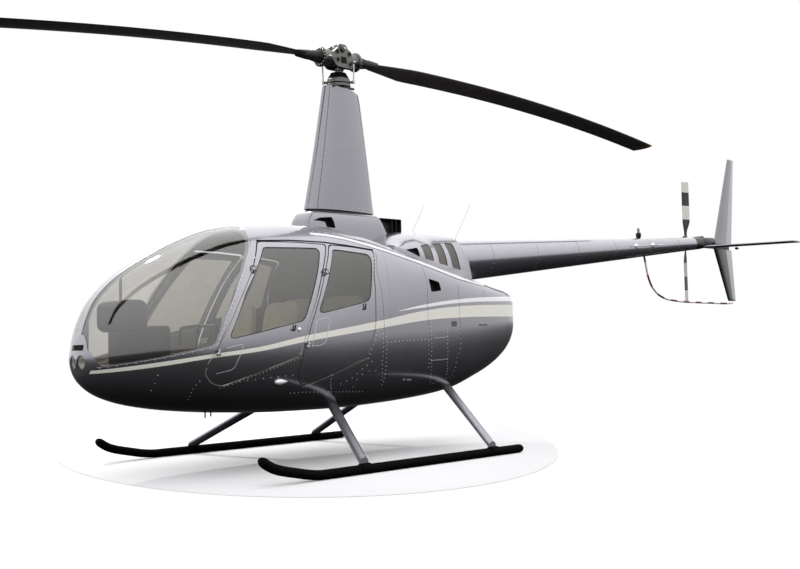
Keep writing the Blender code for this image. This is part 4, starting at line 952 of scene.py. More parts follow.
class Surface:
    """A skin known by an implicit function that is 1 on it, and by its left side seen square on."""

    def level(self, points: Array) -> Array:
        """The implicit function."""
        raise NotImplementedError

    def side_point(self, flat: Array) -> Array:
        """Points of the left side over (x, z) pairs."""
        raise NotImplementedError

    def normal(self, points: Array) -> Array:
        """Outward unit normals: the gradient of the implicit function by central differences."""
        step = 1e-4
        out = np.zeros_like(points)
        for axis in range(3):
            move = np.zeros(3)
            move[axis] = step
            out[..., axis] = self.level(points + move) - self.level(points - move)
        return out / np.maximum(np.linalg.norm(out, axis=-1, keepdims=True), 1e-12)

    def sunk(self, points: Array, depth: float | Array) -> Array:
        """Points moved under the surface along its normal."""
        return points - self.normal(points) * np.asarray(depth)[..., None]

    def patch(self, outer: Array, inner: Array | None, depth: float, wall: float, rows: int = 18,
              bevel: float = 0.0012) -> MeshData:
        """A curved plate on the left side between an outer and an inner outline of (x, z) points.

        Points run on rays from the middle of the inner outline, or of the outer one if there is none, at
        radius r = r_inner + (r_outer - r_inner) s, and y comes from the surface. Its rims are chamfered.

        Args:
            outer: Outer outline.
            inner: Hole, or None for a plate without one.
            depth: How far the plate's outer face lies under the surface.
            wall: Thickness.
            rows: Rows between the outlines.
            bevel: Width of the chamfers.

        Returns:
            The closed mesh.
        """
        hole = inner if inner is not None else outer
        centre = (hole.min(0) + hole.max(0)) / 2.0
        angles = shared_angles([outer] if inner is None else [outer, inner], centre)
        far = polar_radius(outer, centre, angles)
        near = polar_radius(inner, centre, angles) if inner is not None else np.zeros_like(far)
        rays = np.stack([np.cos(angles), np.sin(angles)], -1)
        s = np.linspace(0.0, 1.0, rows)
        lip = bevel if inner is not None else 0.0
        radius = (near + lip)[None] + (far - bevel - near - lip)[None] * s[:, None]
        face = centre + radius[..., None] * rays[None]
        ends = centre + np.stack([near, far])[..., None] * rays[None]
        top = self.sunk(self.side_point(face), depth)
        sides = self.side_point(ends)
        bottom = self.sunk(self.side_point(face), depth + wall)
        high, low = self.sunk(sides, depth + bevel), self.sunk(sides, depth + wall)
        count = len(angles)
        if inner is None:
            rings = np.concatenate([top, high[1:], low[1:], bottom[-2::-1]])
            points, quads = rings.reshape(-1, 3), grid_quads(len(rings), count, wrap=True)
            mesh = MeshData(points, quads)
            return outward(self._weld_poles(mesh, len(rings), count))
        rings = np.concatenate([high[:1], top, high[1:], low[1:], bottom[-2:0:-1], low[:1]])
        return torus(rings)

    @staticmethod
    def _weld_poles(mesh: MeshData, rows: int, count: int) -> MeshData:
        """Merge the first and last rows, each a single point, into poles joined by triangles."""
        points = np.vstack([mesh.points[:1], mesh.points[count:-count], mesh.points[-1:]])
        quads = grid_quads(rows - 2, count, wrap=True) + 1
        i = np.arange(count)
        j = (i + 1) % count
        last = 1 + (rows - 3) * count
        tris = np.vstack([np.stack([np.zeros(count, int), 1 + j, 1 + i], -1),
                          np.stack([np.full(count, len(points) - 1), last + i, last + j], -1)])
        return MeshData(points, quads, tris[:, ::-1])

    def line(self, path: Outline, spacing: float = 0.012, lift: float = 0.0) -> tuple[Array, Array]:
        """Evenly spaced points along a polyline of (x, z) pairs on the left, lifted, with their normals."""
        flat = resampled(np.asarray(path, float), spacing * 0.5)
        points = resampled(self.side_point(flat), spacing)
        normals = self.normal(points)
        return points + normals * lift, normals

    def bead(self, path: Outline, width: float, rise: float) -> MeshData:
        """A raised rounded strip along a polyline of (x, z) pairs on the left side."""
        return swept(*self.line(path), bead_profile(width, rise))

    def row(self, path: Outline, spacing: float, radius: float = 0.0052, lift: float = 0.0) -> MeshData:
        """A row of rivets along a polyline of (x, z) pairs on the left side."""
        return rivets(*self.line(path, spacing, lift=lift), radius)

    def opening(self, made: Object, outline: Array, depth: float, sides: Sequence["Side"]) -> MeshData:
        """Cut a pocket of even depth into a piece, and give the dark lining, as painted shade, for its walls
        and bottom.

        Args:
            made: The solid piece.
            outline: Outline of the pocket, (x, z) points.
            depth: Depth of the pocket.
            sides: Sides on which it is cut.

        Returns:
            The lining's mesh.
        """
        proud, sheet = 0.03, 0.0015
        edge = sheet / 5.0
        tool = self.patch(outline, None, -proud, proud + depth, rows=5)
        inner = np.asarray(offset_outline(outline, sheet))
        lining = (self.patch(outline, inner, sheet, depth - 2.0 * sheet, rows=2, bevel=edge)
                  + self.patch(outline, None, depth - 2.0 * sheet, sheet, rows=5, bevel=edge))
        carve(made, joined([tool.sided(side) for side in sides]))
        return joined([lining.sided(side) for side in sides])


@dataclass
class Pod(Surface):
    """The fuselage pod: superellipse sections whose size and squareness vary along X."""

    nose: float = 2.425
    tail: float = -1.85
    top: Track = Track((
        (2.425, 0.90), (2.40, 1.03), (2.32, 1.25), (2.20, 1.395), (2.05, 1.513), (1.71, 1.70), (1.35, 1.835),
        (1.06, 1.885), (0.80, 1.905), (0.50, 1.905), (0.25, 1.86), (-0.30, 1.69), (-0.60, 1.61),
        (-1.00, 1.52), (-1.40, 1.44), (-1.70, 1.39), (-1.80, 1.35), (-1.85, 1.27)))
    bottom: Track = Track((
        (2.425, 0.84), (2.40, 0.74), (2.33, 0.655), (2.20, 0.58), (2.00, 0.52), (1.70, 0.47), (1.30, 0.433),
        (0.80, 0.41), (0.30, 0.405), (-0.20, 0.42), (-0.60, 0.445), (-0.95, 0.485), (-1.25, 0.57),
        (-1.50, 0.66), (-1.70, 0.78), (-1.80, 0.90), (-1.85, 1.04)))
    middle: Track = Track((
        (2.425, 0.87), (2.00, 0.92), (1.50, 0.94), (1.00, 0.97), (0.50, 1.00), (-0.50, 1.06), (-1.00, 1.10),
        (-1.85, 1.16)))
    half_width: Track = Track((
        (2.425, 0.03), (2.418, 0.09), (2.395, 0.17), (2.34, 0.265), (2.25, 0.365), (2.10, 0.475),
        (1.90, 0.573), (1.60, 0.665), (1.30, 0.715), (1.00, 0.735), (0.50, 0.737), (0.10, 0.73),
        (-0.30, 0.705), (-0.70, 0.665), (-1.10, 0.60), (-1.50, 0.51), (-1.70, 0.44), (-1.80, 0.36),
        (-1.85, 0.25)))
    above: Track = Track((
        (2.425, 2.0), (2.00, 2.1), (1.40, 2.25), (0.80, 2.6), (0.40, 3.2), (0.00, 4.5), (-0.40, 6.0),
        (-1.85, 6.5)))
    below: Track = Track(((2.425, 2.0), (2.00, 2.2), (1.40, 2.5), (0.50, 2.8), (-0.50, 2.8), (-1.85, 2.8)))

    def section(self, x: Array, upper: Array) -> tuple[Array, Array, Array, Array]:
        """Half width, middle, half height and squareness of the sections at x, above or below the middle."""
        m = self.middle(x)
        height = np.where(upper, self.top(x) - m, m - self.bottom(x))
        power = np.where(upper, self.above(x), self.below(x))
        return self.half_width(x), m, height, power

    def point(self, x: Array, angle: Array) -> Array:
        """Surface points: y = w cos a / r and z = m + h sin a / r, with r = (|cos a|^n + |sin a|^n)^(1/n)."""
        x, angle = np.broadcast_arrays(np.asarray(x, float), np.asarray(angle, float))
        c, s = np.cos(angle), np.sin(angle)
        w, m, h, n = self.section(x, s > 0)
        r = (np.abs(c) ** n + np.abs(s) ** n) ** (1.0 / n)
        return np.stack([x, w * c / r, m + h * s / r], -1)

    def level(self, points: Array) -> Array:
        """The implicit function |y / w|^n + |(z - m) / h|^n, which is 1 on the surface."""
        x, y, z = np.moveaxis(points, -1, 0)
        w, m, h, n = self.section(x, z > self.middle(x))
        return np.abs(y / w) ** n + np.abs((z - m) / h) ** n

    def side_point(self, flat: Array) -> Array:
        """Points on the left side over (x, z): y = w (1 - |(z - m) / h|^n)^(1/n)."""
        x, z = np.moveaxis(flat, -1, 0)
        w, m, h, n = self.section(x, z > self.middle(x))
        inner = np.clip(1.0 - np.abs((z - m) / h) ** n, 0.0, 1.0)
        return np.stack([x, w * inner ** (1.0 / n), z], -1)

    def top_point(self, flat: Array) -> Array:
        """Points on the upper side over (x, y): z = m + h (1 - |y / w|^n)^(1/n)."""
        x, y = np.moveaxis(flat, -1, 0)
        w, m, h, n = self.section(x, np.ones_like(x, bool))
        inner = np.clip(1.0 - np.abs(y / w) ** n, 0.0, 1.0)
        return np.stack([x, y, m + h * inner ** (1.0 / n)], -1)

    def front_point(self, flat: Array) -> Array:
        """Points of the nose over (y, z), their x halved in on between 1.9 and the tip."""
        y, z = np.moveaxis(flat, -1, 0)
        low, high = np.full_like(y, 1.9), np.full_like(y, self.nose)
        for _ in range(30):
            x = (low + high) / 2.0
            inside = self.level(np.stack([x, y, z], -1)) < 1.0
            low, high = np.where(inside, x, low), np.where(inside, high, x)
        return np.stack([low, y, z], -1)

    def angle_at(self, points: Array) -> Array:
        """The section angle of surface points: atan2((z - m) / h, y / w)."""
        x, y, z = np.moveaxis(points, -1, 0)
        w, m, h, _ = self.section(x, z > self.middle(x))
        return np.arctan2((z - m) / h, y / w)

    def shell(self, front: float, back: float, wall: float, stations: int, around: int) -> MeshData:
        """A closed hollow length of the pod.

        Stations bunch towards the nose by a cosine law. The inner skin is the outer one sunk by the wall.

        Args:
            front: X of the front end, the nose itself if it is past it.
            back: X of the rear end.
            wall: Thickness.
            stations: Sections along X.
            around: Points in each section.

        Returns:
            The closed mesh.
        """
        even = np.linspace(0.0, 1.0, stations)
        share = 1.0 - np.cos(math.pi / 2.0 * even) if front >= self.nose else even
        angle = full_turn(around) + 1e-4
        x = front + (back - front) * share
        outer = self.point(x[:, None], angle[None])
        inner_x = (front - 2.0 * wall if front >= self.nose else front) + 0.0 * x
        inner_x = inner_x + (back - inner_x) * share
        inner = self.sunk(self.point(inner_x[:, None], angle[None]), wall)
        inner[-1, :, 0] = outer[-1, :, 0]
        if front < self.nose:
            inner[0, :, 0] = outer[0, :, 0]
            rings = np.concatenate([outer, inner[::-1], outer[:1]])
            return torus(rings[:-1])
        rings = np.concatenate([outer, inner[::-1]])
        return loft(rings)


POD = Pod()


def shade_by_pod(made: Object) -> None:
    """Give a piece of the pod's skin the exact normals of the surface, and flat ones on its cut edges."""
    data = made.data
    count = len(data.loops)
    index = np.zeros(count, np.int32)
    data.loops.foreach_get("vertex_index", index)
    points = np.zeros(len(data.vertices) * 3, np.float32)
    data.vertices.foreach_get("co", points)
    exact = POD.normal(points.reshape(-1, 3).astype(float) - SHIFT)[index]
    face = np.zeros(len(data.polygons) * 3, np.float32)
    data.polygons.foreach_get("normal", face)
    total = np.zeros(len(data.polygons), np.int32)
    data.polygons.foreach_get("loop_total", total)
    flat = np.repeat(face.reshape(-1, 3), total, 0).astype(float)
    along = np.einsum("ij,ij->i", exact, flat)
    near = 0.9
    chosen = np.where((along > near)[:, None], exact, np.where((along < -near)[:, None], -exact, flat))
    data.normals_split_custom_set([tuple(n) for n in chosen])


# Outlines that doors, windows and skin share

FRONT_DOOR: Outline = ((1.207, 1.719), (1.343, 1.502), (1.514, 1.236), (1.655, 0.978), (1.747, 0.821),
                       (1.757, 0.745), (1.693, 0.680), (1.617, 0.655), (1.343, 0.752), (1.028, 0.855),
                       (0.946, 1.081), (0.759, 1.489), (0.636, 1.712), (0.900, 1.722))
REAR_DOOR: Outline = ((0.612, 1.711), (0.735, 1.489), (0.922, 1.081), (1.004, 0.855), (1.033, 0.726),
                      (1.000, 0.657), (0.940, 0.632), (0.669, 0.727), (0.367, 0.832), (0.278, 1.066),
                      (0.264, 1.480), (0.205, 1.678), (0.420, 1.700))
FRONT_WINDOW: Outline = ((1.186, 1.674), (1.441, 1.321), (1.593, 1.012), (1.574, 0.990), (0.999, 1.108),
                         (0.968, 1.134), (0.722, 1.651), (0.735, 1.679))
REAR_WINDOW: Outline = ((0.599, 1.674), (0.842, 1.190), (0.812, 1.169), (0.359, 1.259), (0.323, 1.292),
                        (0.254, 1.608), (0.277, 1.645))
WINDSCREEN: Outline = ((2.60, 1.060), (2.393, 1.055), (2.405, 0.936), (2.364, 0.825), (2.057, 0.877),
                       (1.690, 0.950), (1.605, 1.160), (1.475, 1.398), (1.360, 1.581), (1.255, 1.728),
                       (1.180, 1.860), (1.170, 2.10), (2.60, 2.10))


@dataclass(frozen=True)
class DoorPlan:
    """What sets one door apart: outlines, skin points of its hinges, plate edge, latch hook and lock knob."""

    place: str
    outline: Outline
    window: Outline
    hinges: tuple[Point, Point]
    plate: Outline
    hook: Outline
    knob: Outline = ()


DOORS = (
    DoorPlan("front", FRONT_DOOR, FRONT_WINDOW, ((1.345, 0.590, 1.502), (1.693, 0.642, 0.897)),
             ((1.622, 0.925), (1.508, 0.950), (1.495, 0.934), (1.556, 0.785), (1.579, 0.770), (1.680, 0.748)),
             ((1.108, 1.051), (1.080, 1.042), (1.076, 1.084)), ((1.034, 1.050),)),
    DoorPlan("rear", REAR_DOOR, REAR_WINDOW, ((0.738, 0.676, 1.490), (0.974, 0.735, 0.931)),
             ((0.915, 0.921), (0.866, 1.117), (0.777, 1.136), (0.740, 1.117), (0.789, 0.953), (0.828, 0.932),
              (0.905, 0.925)),
             ((0.412, 1.203), (0.390, 1.200), (0.392, 1.245))))
HINGE_OUT = 0.032
HINGE_RADIUS = 0.010
HINGE_LENGTH = 0.022
HINGE_REACH = 0.021
DOOR_GAP = 0.0040
FRAME_GAP = 0.0030
CORNER = 0.030
WINDOW_CORNER = 0.028
WALL = 0.030
POST = 0.018
LINING_GAP = 0.012
SCREEN_CORNER = 0.02
CABIN_REAR = 0.12


def eased(outline: Outline, distance: float, radius: float = CORNER) -> Array:
    """A closed outline moved in by a distance, its corners then rounded."""
    return rounded_outline(offset_outline(outline, distance), radius)


def side_prism(outline: Array, side: Side, near: float = 0.25, far: float = 1.0) -> MeshData:
    """A closed prism along Y over an (x, z) outline on one side."""
    rings = np.stack([np.stack([outline[:, 0], np.full(len(outline), y * side.sign), outline[:, 1]], -1)
                      for y in (near, far)])
    return loft(rings)


@dataclass
class Cabin:
    """Cabin and aft skins, doors and windows on the pod's surface."""

    stations: int = 150
    around: int = 220
    rim_depth: float = 0.008
    rim_width: float = 0.018
    seal: float = 0.005
    pane: float = 0.005
    lamp_y: float = 0.060
    lamp_z: float = 0.849
    lamp_radius: float = 0.0495
    lamp_back: float = 2.33
    bowl_back: float = 2.372
    bulb_back: float = 2.370
    slot: tuple[Point, Point] = (
        (2.398, -0.085, 0.932), (2.50, 0.085, 0.972))
    scoop: Outline = ((-0.359, 1.463), (-0.493, 1.437), (-0.516, 1.365), (-0.383, 1.350))

    def build(self) -> None:
        """Make every skin, door and pane."""
        self.build_shell()
        self.build_aft()
        self.build_windscreen()
        for side in Side:
            self.build_lamp(side)
            for plan in DOORS:
                self.build_door(plan, side)
                self.build_door_fittings(plan, side)

    def build_shell(self) -> None:
        """The cabin's hollow skin from nose to rear bulkhead, cut by doors and windscreen."""
        share = 1.0
        shell = raw_object("cabin_skin", POD.shell(POD.nose, CABIN_REAR, WALL, int(self.stations * share),
                                                   int(self.around * share)))
        cutters, room = [], []
        for side in Side:
            for plan in DOORS:
                cutters.append(side_prism(eased(plan.outline, -FRAME_GAP), side))
                room.append(side_prism(eased(plan.outline, -LINING_GAP), side))
            cutters.append(side_prism(rounded_outline(WINDSCREEN, SCREEN_CORNER), side, POST))
            room.append(side_prism(eased(WINDSCREEN, -LINING_GAP, SCREEN_CORNER), side, POST + 0.004))
        carve(shell, joined(cutters))
        r = self.lamp_radius + 0.0005
        bore = lathe(((0.0, r), (0.2, r)), (self.lamp_back, self.lamp_y, self.lamp_z),
                     (1, 0, 0), 48)
        (x0, y0, z0), (x1, y1, z1) = self.slot
        for tool in (bore, bore.mirrored(), superbox((x0, y0, z0), (x1, y1, z1), 0.006)):
            carve(shell, tool)
        finish_object(shell, Finish.PAINT, Body.AIRFRAME.value, ("cabin_tub", "cabin_roof"))
        shade_by_pod(shell)
        lip = superbox((x0 - 0.004, y0 + 0.001, z0 + 0.001), (x0 + 0.004, y1 - 0.001, z1 - 0.001), 0.002)
        # Near-black backing behind the nose slot as painted shade
        piece("nose_slot_backing", lip, Finish.VOID)
        end = 0.02
        angle = np.linspace(end, math.pi - end, 90)
        x = np.linspace(2.10, CABIN_REAR + end, 70)
        skin = POD.point(x[:, None], angle[None])
        rings = np.concatenate([POD.sunk(skin, WALL + 0.0005), POD.sunk(skin, WALL + 0.003)[:, ::-1]], axis=1)
        lining = raw_object("roof_and_side_lining", loft(rings))
        for tool in room:
            carve(lining, tool)
        finish_object(lining, Finish.LINING, Body.AIRFRAME.value)

    def build_aft(self) -> None:
        """The aft body's skin behind the rear bulkhead, closed at its tail, with its side scoops."""
        gap = 0.0015
        x = CABIN_REAR - gap + (POD.tail - CABIN_REAR + gap) * np.sin(np.linspace(0.0, math.pi / 2.0, 110))
        angle = full_turn(self.around) + 1e-4
        outer = POD.point(x[:, None], angle[None])
        lip = POD.sunk(outer[:2], 0.003)[::-1]
        skin = raw_object("aft_skin", loft(np.concatenate([lip[1:], outer])))
        lining = POD.opening(skin, rounded_outline(self.scoop, 0.014, 5), 0.060, tuple(Side))
        finish_object(skin, Finish.PAINT, Body.AIRFRAME.value, ("aft_body",))
        # Near-black linings in the side scoops as painted shade
        piece("side_scoop_linings", lining, Finish.VOID)

    def build_lamp(self, side: Side) -> None:
        """One landing lamp set into the nose: ring along the skin, reflector bowl, bulb and lens."""
        turn = full_turn(48)
        circle = np.stack([np.cos(turn), np.sin(turn)], -1)
        middle = np.array([self.lamp_y, self.lamp_z])

        def hoop(radius: float, sunk: float, back: float = 0.0) -> Array:
            """A circle on the nose under the skin, or on a plane at the back."""
            points = POD.front_point(middle + radius * circle)
            points[:, 0] = back if back else points[:, 0] - sunk
            return points

        r, x = self.lamp_radius, self.lamp_back
        seat = x + 0.011
        ring = torus(np.stack([hoop(r, 0.0, seat), hoop(r, 0.002), hoop(r - 0.002, 0.0005),
                               hoop(r - 0.004, 0.002), hoop(r - 0.0045, 0.006), hoop(r - 0.004, 0.0, seat)]))
        share = np.linspace(1.0, 0.06, 14)[:, None, None]
        front = POD.front_point(middle + (r - 0.005) * share * circle)
        bowl = front.copy()
        deep = share[..., 0] ** 2
        bowl[..., 0] = (front[..., 0] - 0.009) * deep + self.bowl_back * (1.0 - deep)
        back = bowl[::-1] - np.array([0.004, 0.0, 0.0])
        lens = loft(np.stack([hoop(0.002, 0.003), hoop(r - 0.018, 0.003), hoop(r - 0.0055, 0.003),
                              hoop(r - 0.0055, 0.006), hoop(r - 0.018, 0.006), hoop(0.002, 0.006)]))
        bulb = lathe(((0.0, 0.008), (0.012, 0.010), (0.020, 0.006), (0.022, 0.0)),
                     (self.bulb_back, self.lamp_y, self.lamp_z), (1, 0, 0), 20)
        side_piece(side, "nose_lamp_ring", ring, Finish.BLACK_PAINT, node_name="nose_lamp")
        bowls = torus(np.concatenate([bowl, back]))
        side_piece(side, "nose_lamp_reflector", bowls + bulb, Finish.CHROME, sharp=60.0)
        side_piece(side, "nose_lamp_lens", lens, Finish.SCREEN)

    def build_windscreen(self) -> None:
        """Two blown panes between the centre post, the pillars and the sill.

        Columns run at constant x, and in each the section angle goes evenly from the lower edge to the post.
        """
        low_edge = Track(((1.176, 1.862), (1.255, 1.730), (1.360, 1.583), (1.475, 1.400), (1.605, 1.162),
                          (1.688, 0.955), (1.72, 0.945), (2.057, 0.878), (2.340, 0.829), (2.368, 0.832),
                          (2.404, 0.936)))
        front, back = 2.4035, 1.176
        x = front - (front - back) * (1.0 - np.cos(np.linspace(0.02, math.pi / 2.0, 90)))
        post = np.full_like(x, POST + 0.0005)
        low = POD.side_point(np.stack([x, low_edge(x)], -1))
        high = POD.top_point(np.stack([x, post], -1))
        share = np.linspace(0.0, 1.0, 60)[None]
        a, b = POD.angle_at(low)[:, None], POD.angle_at(high)[:, None]
        face = POD.point(x[:, None], a + (b - a) * share)
        under_skin = 0.0015
        top, under = POD.sunk(face, under_skin), POD.sunk(face, under_skin + self.pane)
        rows, columns = face.shape[:2]
        quads = grid_quads(rows, columns)
        count = rows * columns
        rim = np.concatenate([np.arange(columns), np.arange(2, rows + 1) * columns - 1,
                              count - 2 - np.arange(columns - 1), np.arange(rows - 2, 0, -1) * columns])
        nxt = np.roll(rim, -1)
        wall = np.stack([rim, rim + count, nxt + count, nxt], -1)
        mesh = outward(MeshData(np.vstack([top.reshape(-1, 3), under.reshape(-1, 3)]),
                                np.vstack([quads, quads[:, ::-1] + count, wall])))
        for side in Side:
            side_piece(side, "windscreen_pane", mesh, Finish.SCREEN, node_name="windscreen")

    def build_door(self, plan: DoorPlan, side: Side) -> None:
        """One door: thin outer skin, thicker inner pan, trim panel, rubber seal and pane."""
        place, window = plan.place, plan.window
        body = f"door_{place}_{side.word}"
        hole = rounded_outline(window, WINDOW_CORNER)
        skin_line, pan_line, trim_line = (eased(plan.outline, DOOR_GAP + rims * self.rim_width)
                                          for rims in range(3))
        skin = POD.patch(skin_line, hole, 0.0, self.rim_depth, rows=26)
        pan = POD.patch(pan_line, hole, self.rim_depth - 0.0005, WALL - self.rim_depth, rows=14)
        side_piece(side, f"{place}_door_skin", skin + pan, Finish.PAINT, body, f"{place}_door")
        trim = POD.patch(trim_line, eased(window, -0.010, WINDOW_CORNER), WALL, 0.003, rows=14, bevel=0.0008)
        side_piece(side, f"{place}_door_trim_panel", trim, Finish.LINING, body)
        inner = eased(window, self.seal, WINDOW_CORNER - self.seal)
        seal = POD.patch(hole, inner, 0.0008, 0.009, rows=3, bevel=0.0006)
        side_piece(side, f"{place}_window_seal", seal, Finish.RUBBER, body)
        line = eased(window, self.seal - 0.001, WINDOW_CORNER)
        pane = POD.patch(line, None, 0.003, self.pane, rows=24, bevel=0.0004)
        side_piece(side, f"{place}_window_pane", pane, Finish.ACRYLIC, body, f"{place}_window")

    def build_door_fittings(self, plan: DoorPlan, side: Side) -> None:
        """Hinges on the door and on its frame, the plate's welded edge, the latch hook and the lock knob."""
        place = plan.place
        body = f"door_{place}_{side.word}"
        top, bottom = (np.array(p) for p in plan.hinges)
        along = normed(bottom - top)
        inward = normed(np.array([0.0, -1.0, 0.0]) + along * along[1])
        back = np.cross(along, inward)
        back *= -np.sign(back[0])
        moving, fixed = [], []
        for spot in (top, bottom):
            frame = Frame(tuple(spot - inward * HINGE_OUT), (tuple(back), tuple(along), tuple(inward)))
            for made, reach, start in ((moving, 1.0, 0.0003), (fixed, -1.0, -HINGE_LENGTH)):
                near, far = sorted((0.008 * reach, HINGE_REACH * reach))
                low, high = start + 0.006, start + HINGE_LENGTH - 0.006
                arm = superbox((near, low, -0.006), (far, high, HINGE_OUT + 0.004), 0.003)
                bar = superbox((-0.004 if reach > 0 else near, low, -0.006),
                               (far if reach > 0 else 0.004, high, 0.006), 0.003)
                knuckle = ((0.0, 0.008), (0.002, HINGE_RADIUS), (HINGE_LENGTH - 0.002, HINGE_RADIUS),
                           (HINGE_LENGTH, 0.008))
                made += [outward(frame.mesh(arm)), outward(frame.mesh(bar)),
                         lathe(knuckle, frame.point(0, start, 0), along, 20)]
        side_piece(side, f"{place}_hinge_leaves", joined(moving), Finish.UPPER_PAINT, body)
        side_piece(side, f"{place}_hinge_brackets", joined(fixed), Finish.UPPER_PAINT)
        side_piece(side, f"{place}_door_plate_edge", POD.bead(plan.plate, 0.005, 0.0012), Finish.RIVET, body)
        points, normals = POD.line(plan.hook, 0.008)
        lift = np.linspace(0.002, 0.016, len(points))[:, None]
        hook = tube(points + normals * lift, 0.0055, 12)
        side_piece(side, f"{place}_latch_hook", hook, Finish.BLACK_PAINT, body)
        for spot in plan.knob:
            at, out = POD.line((spot, (spot[0] - 0.001, spot[1])), 0.001)
            knob = lathe(((-0.002, 0.015), (0.004, 0.015), (0.006, 0.011), (0.012, 0.010),
                          (0.015, 0.006)), at[0], out[0], 24)
            side_piece(side, f"{place}_lock_knob", knob, Finish.CHROME, body)


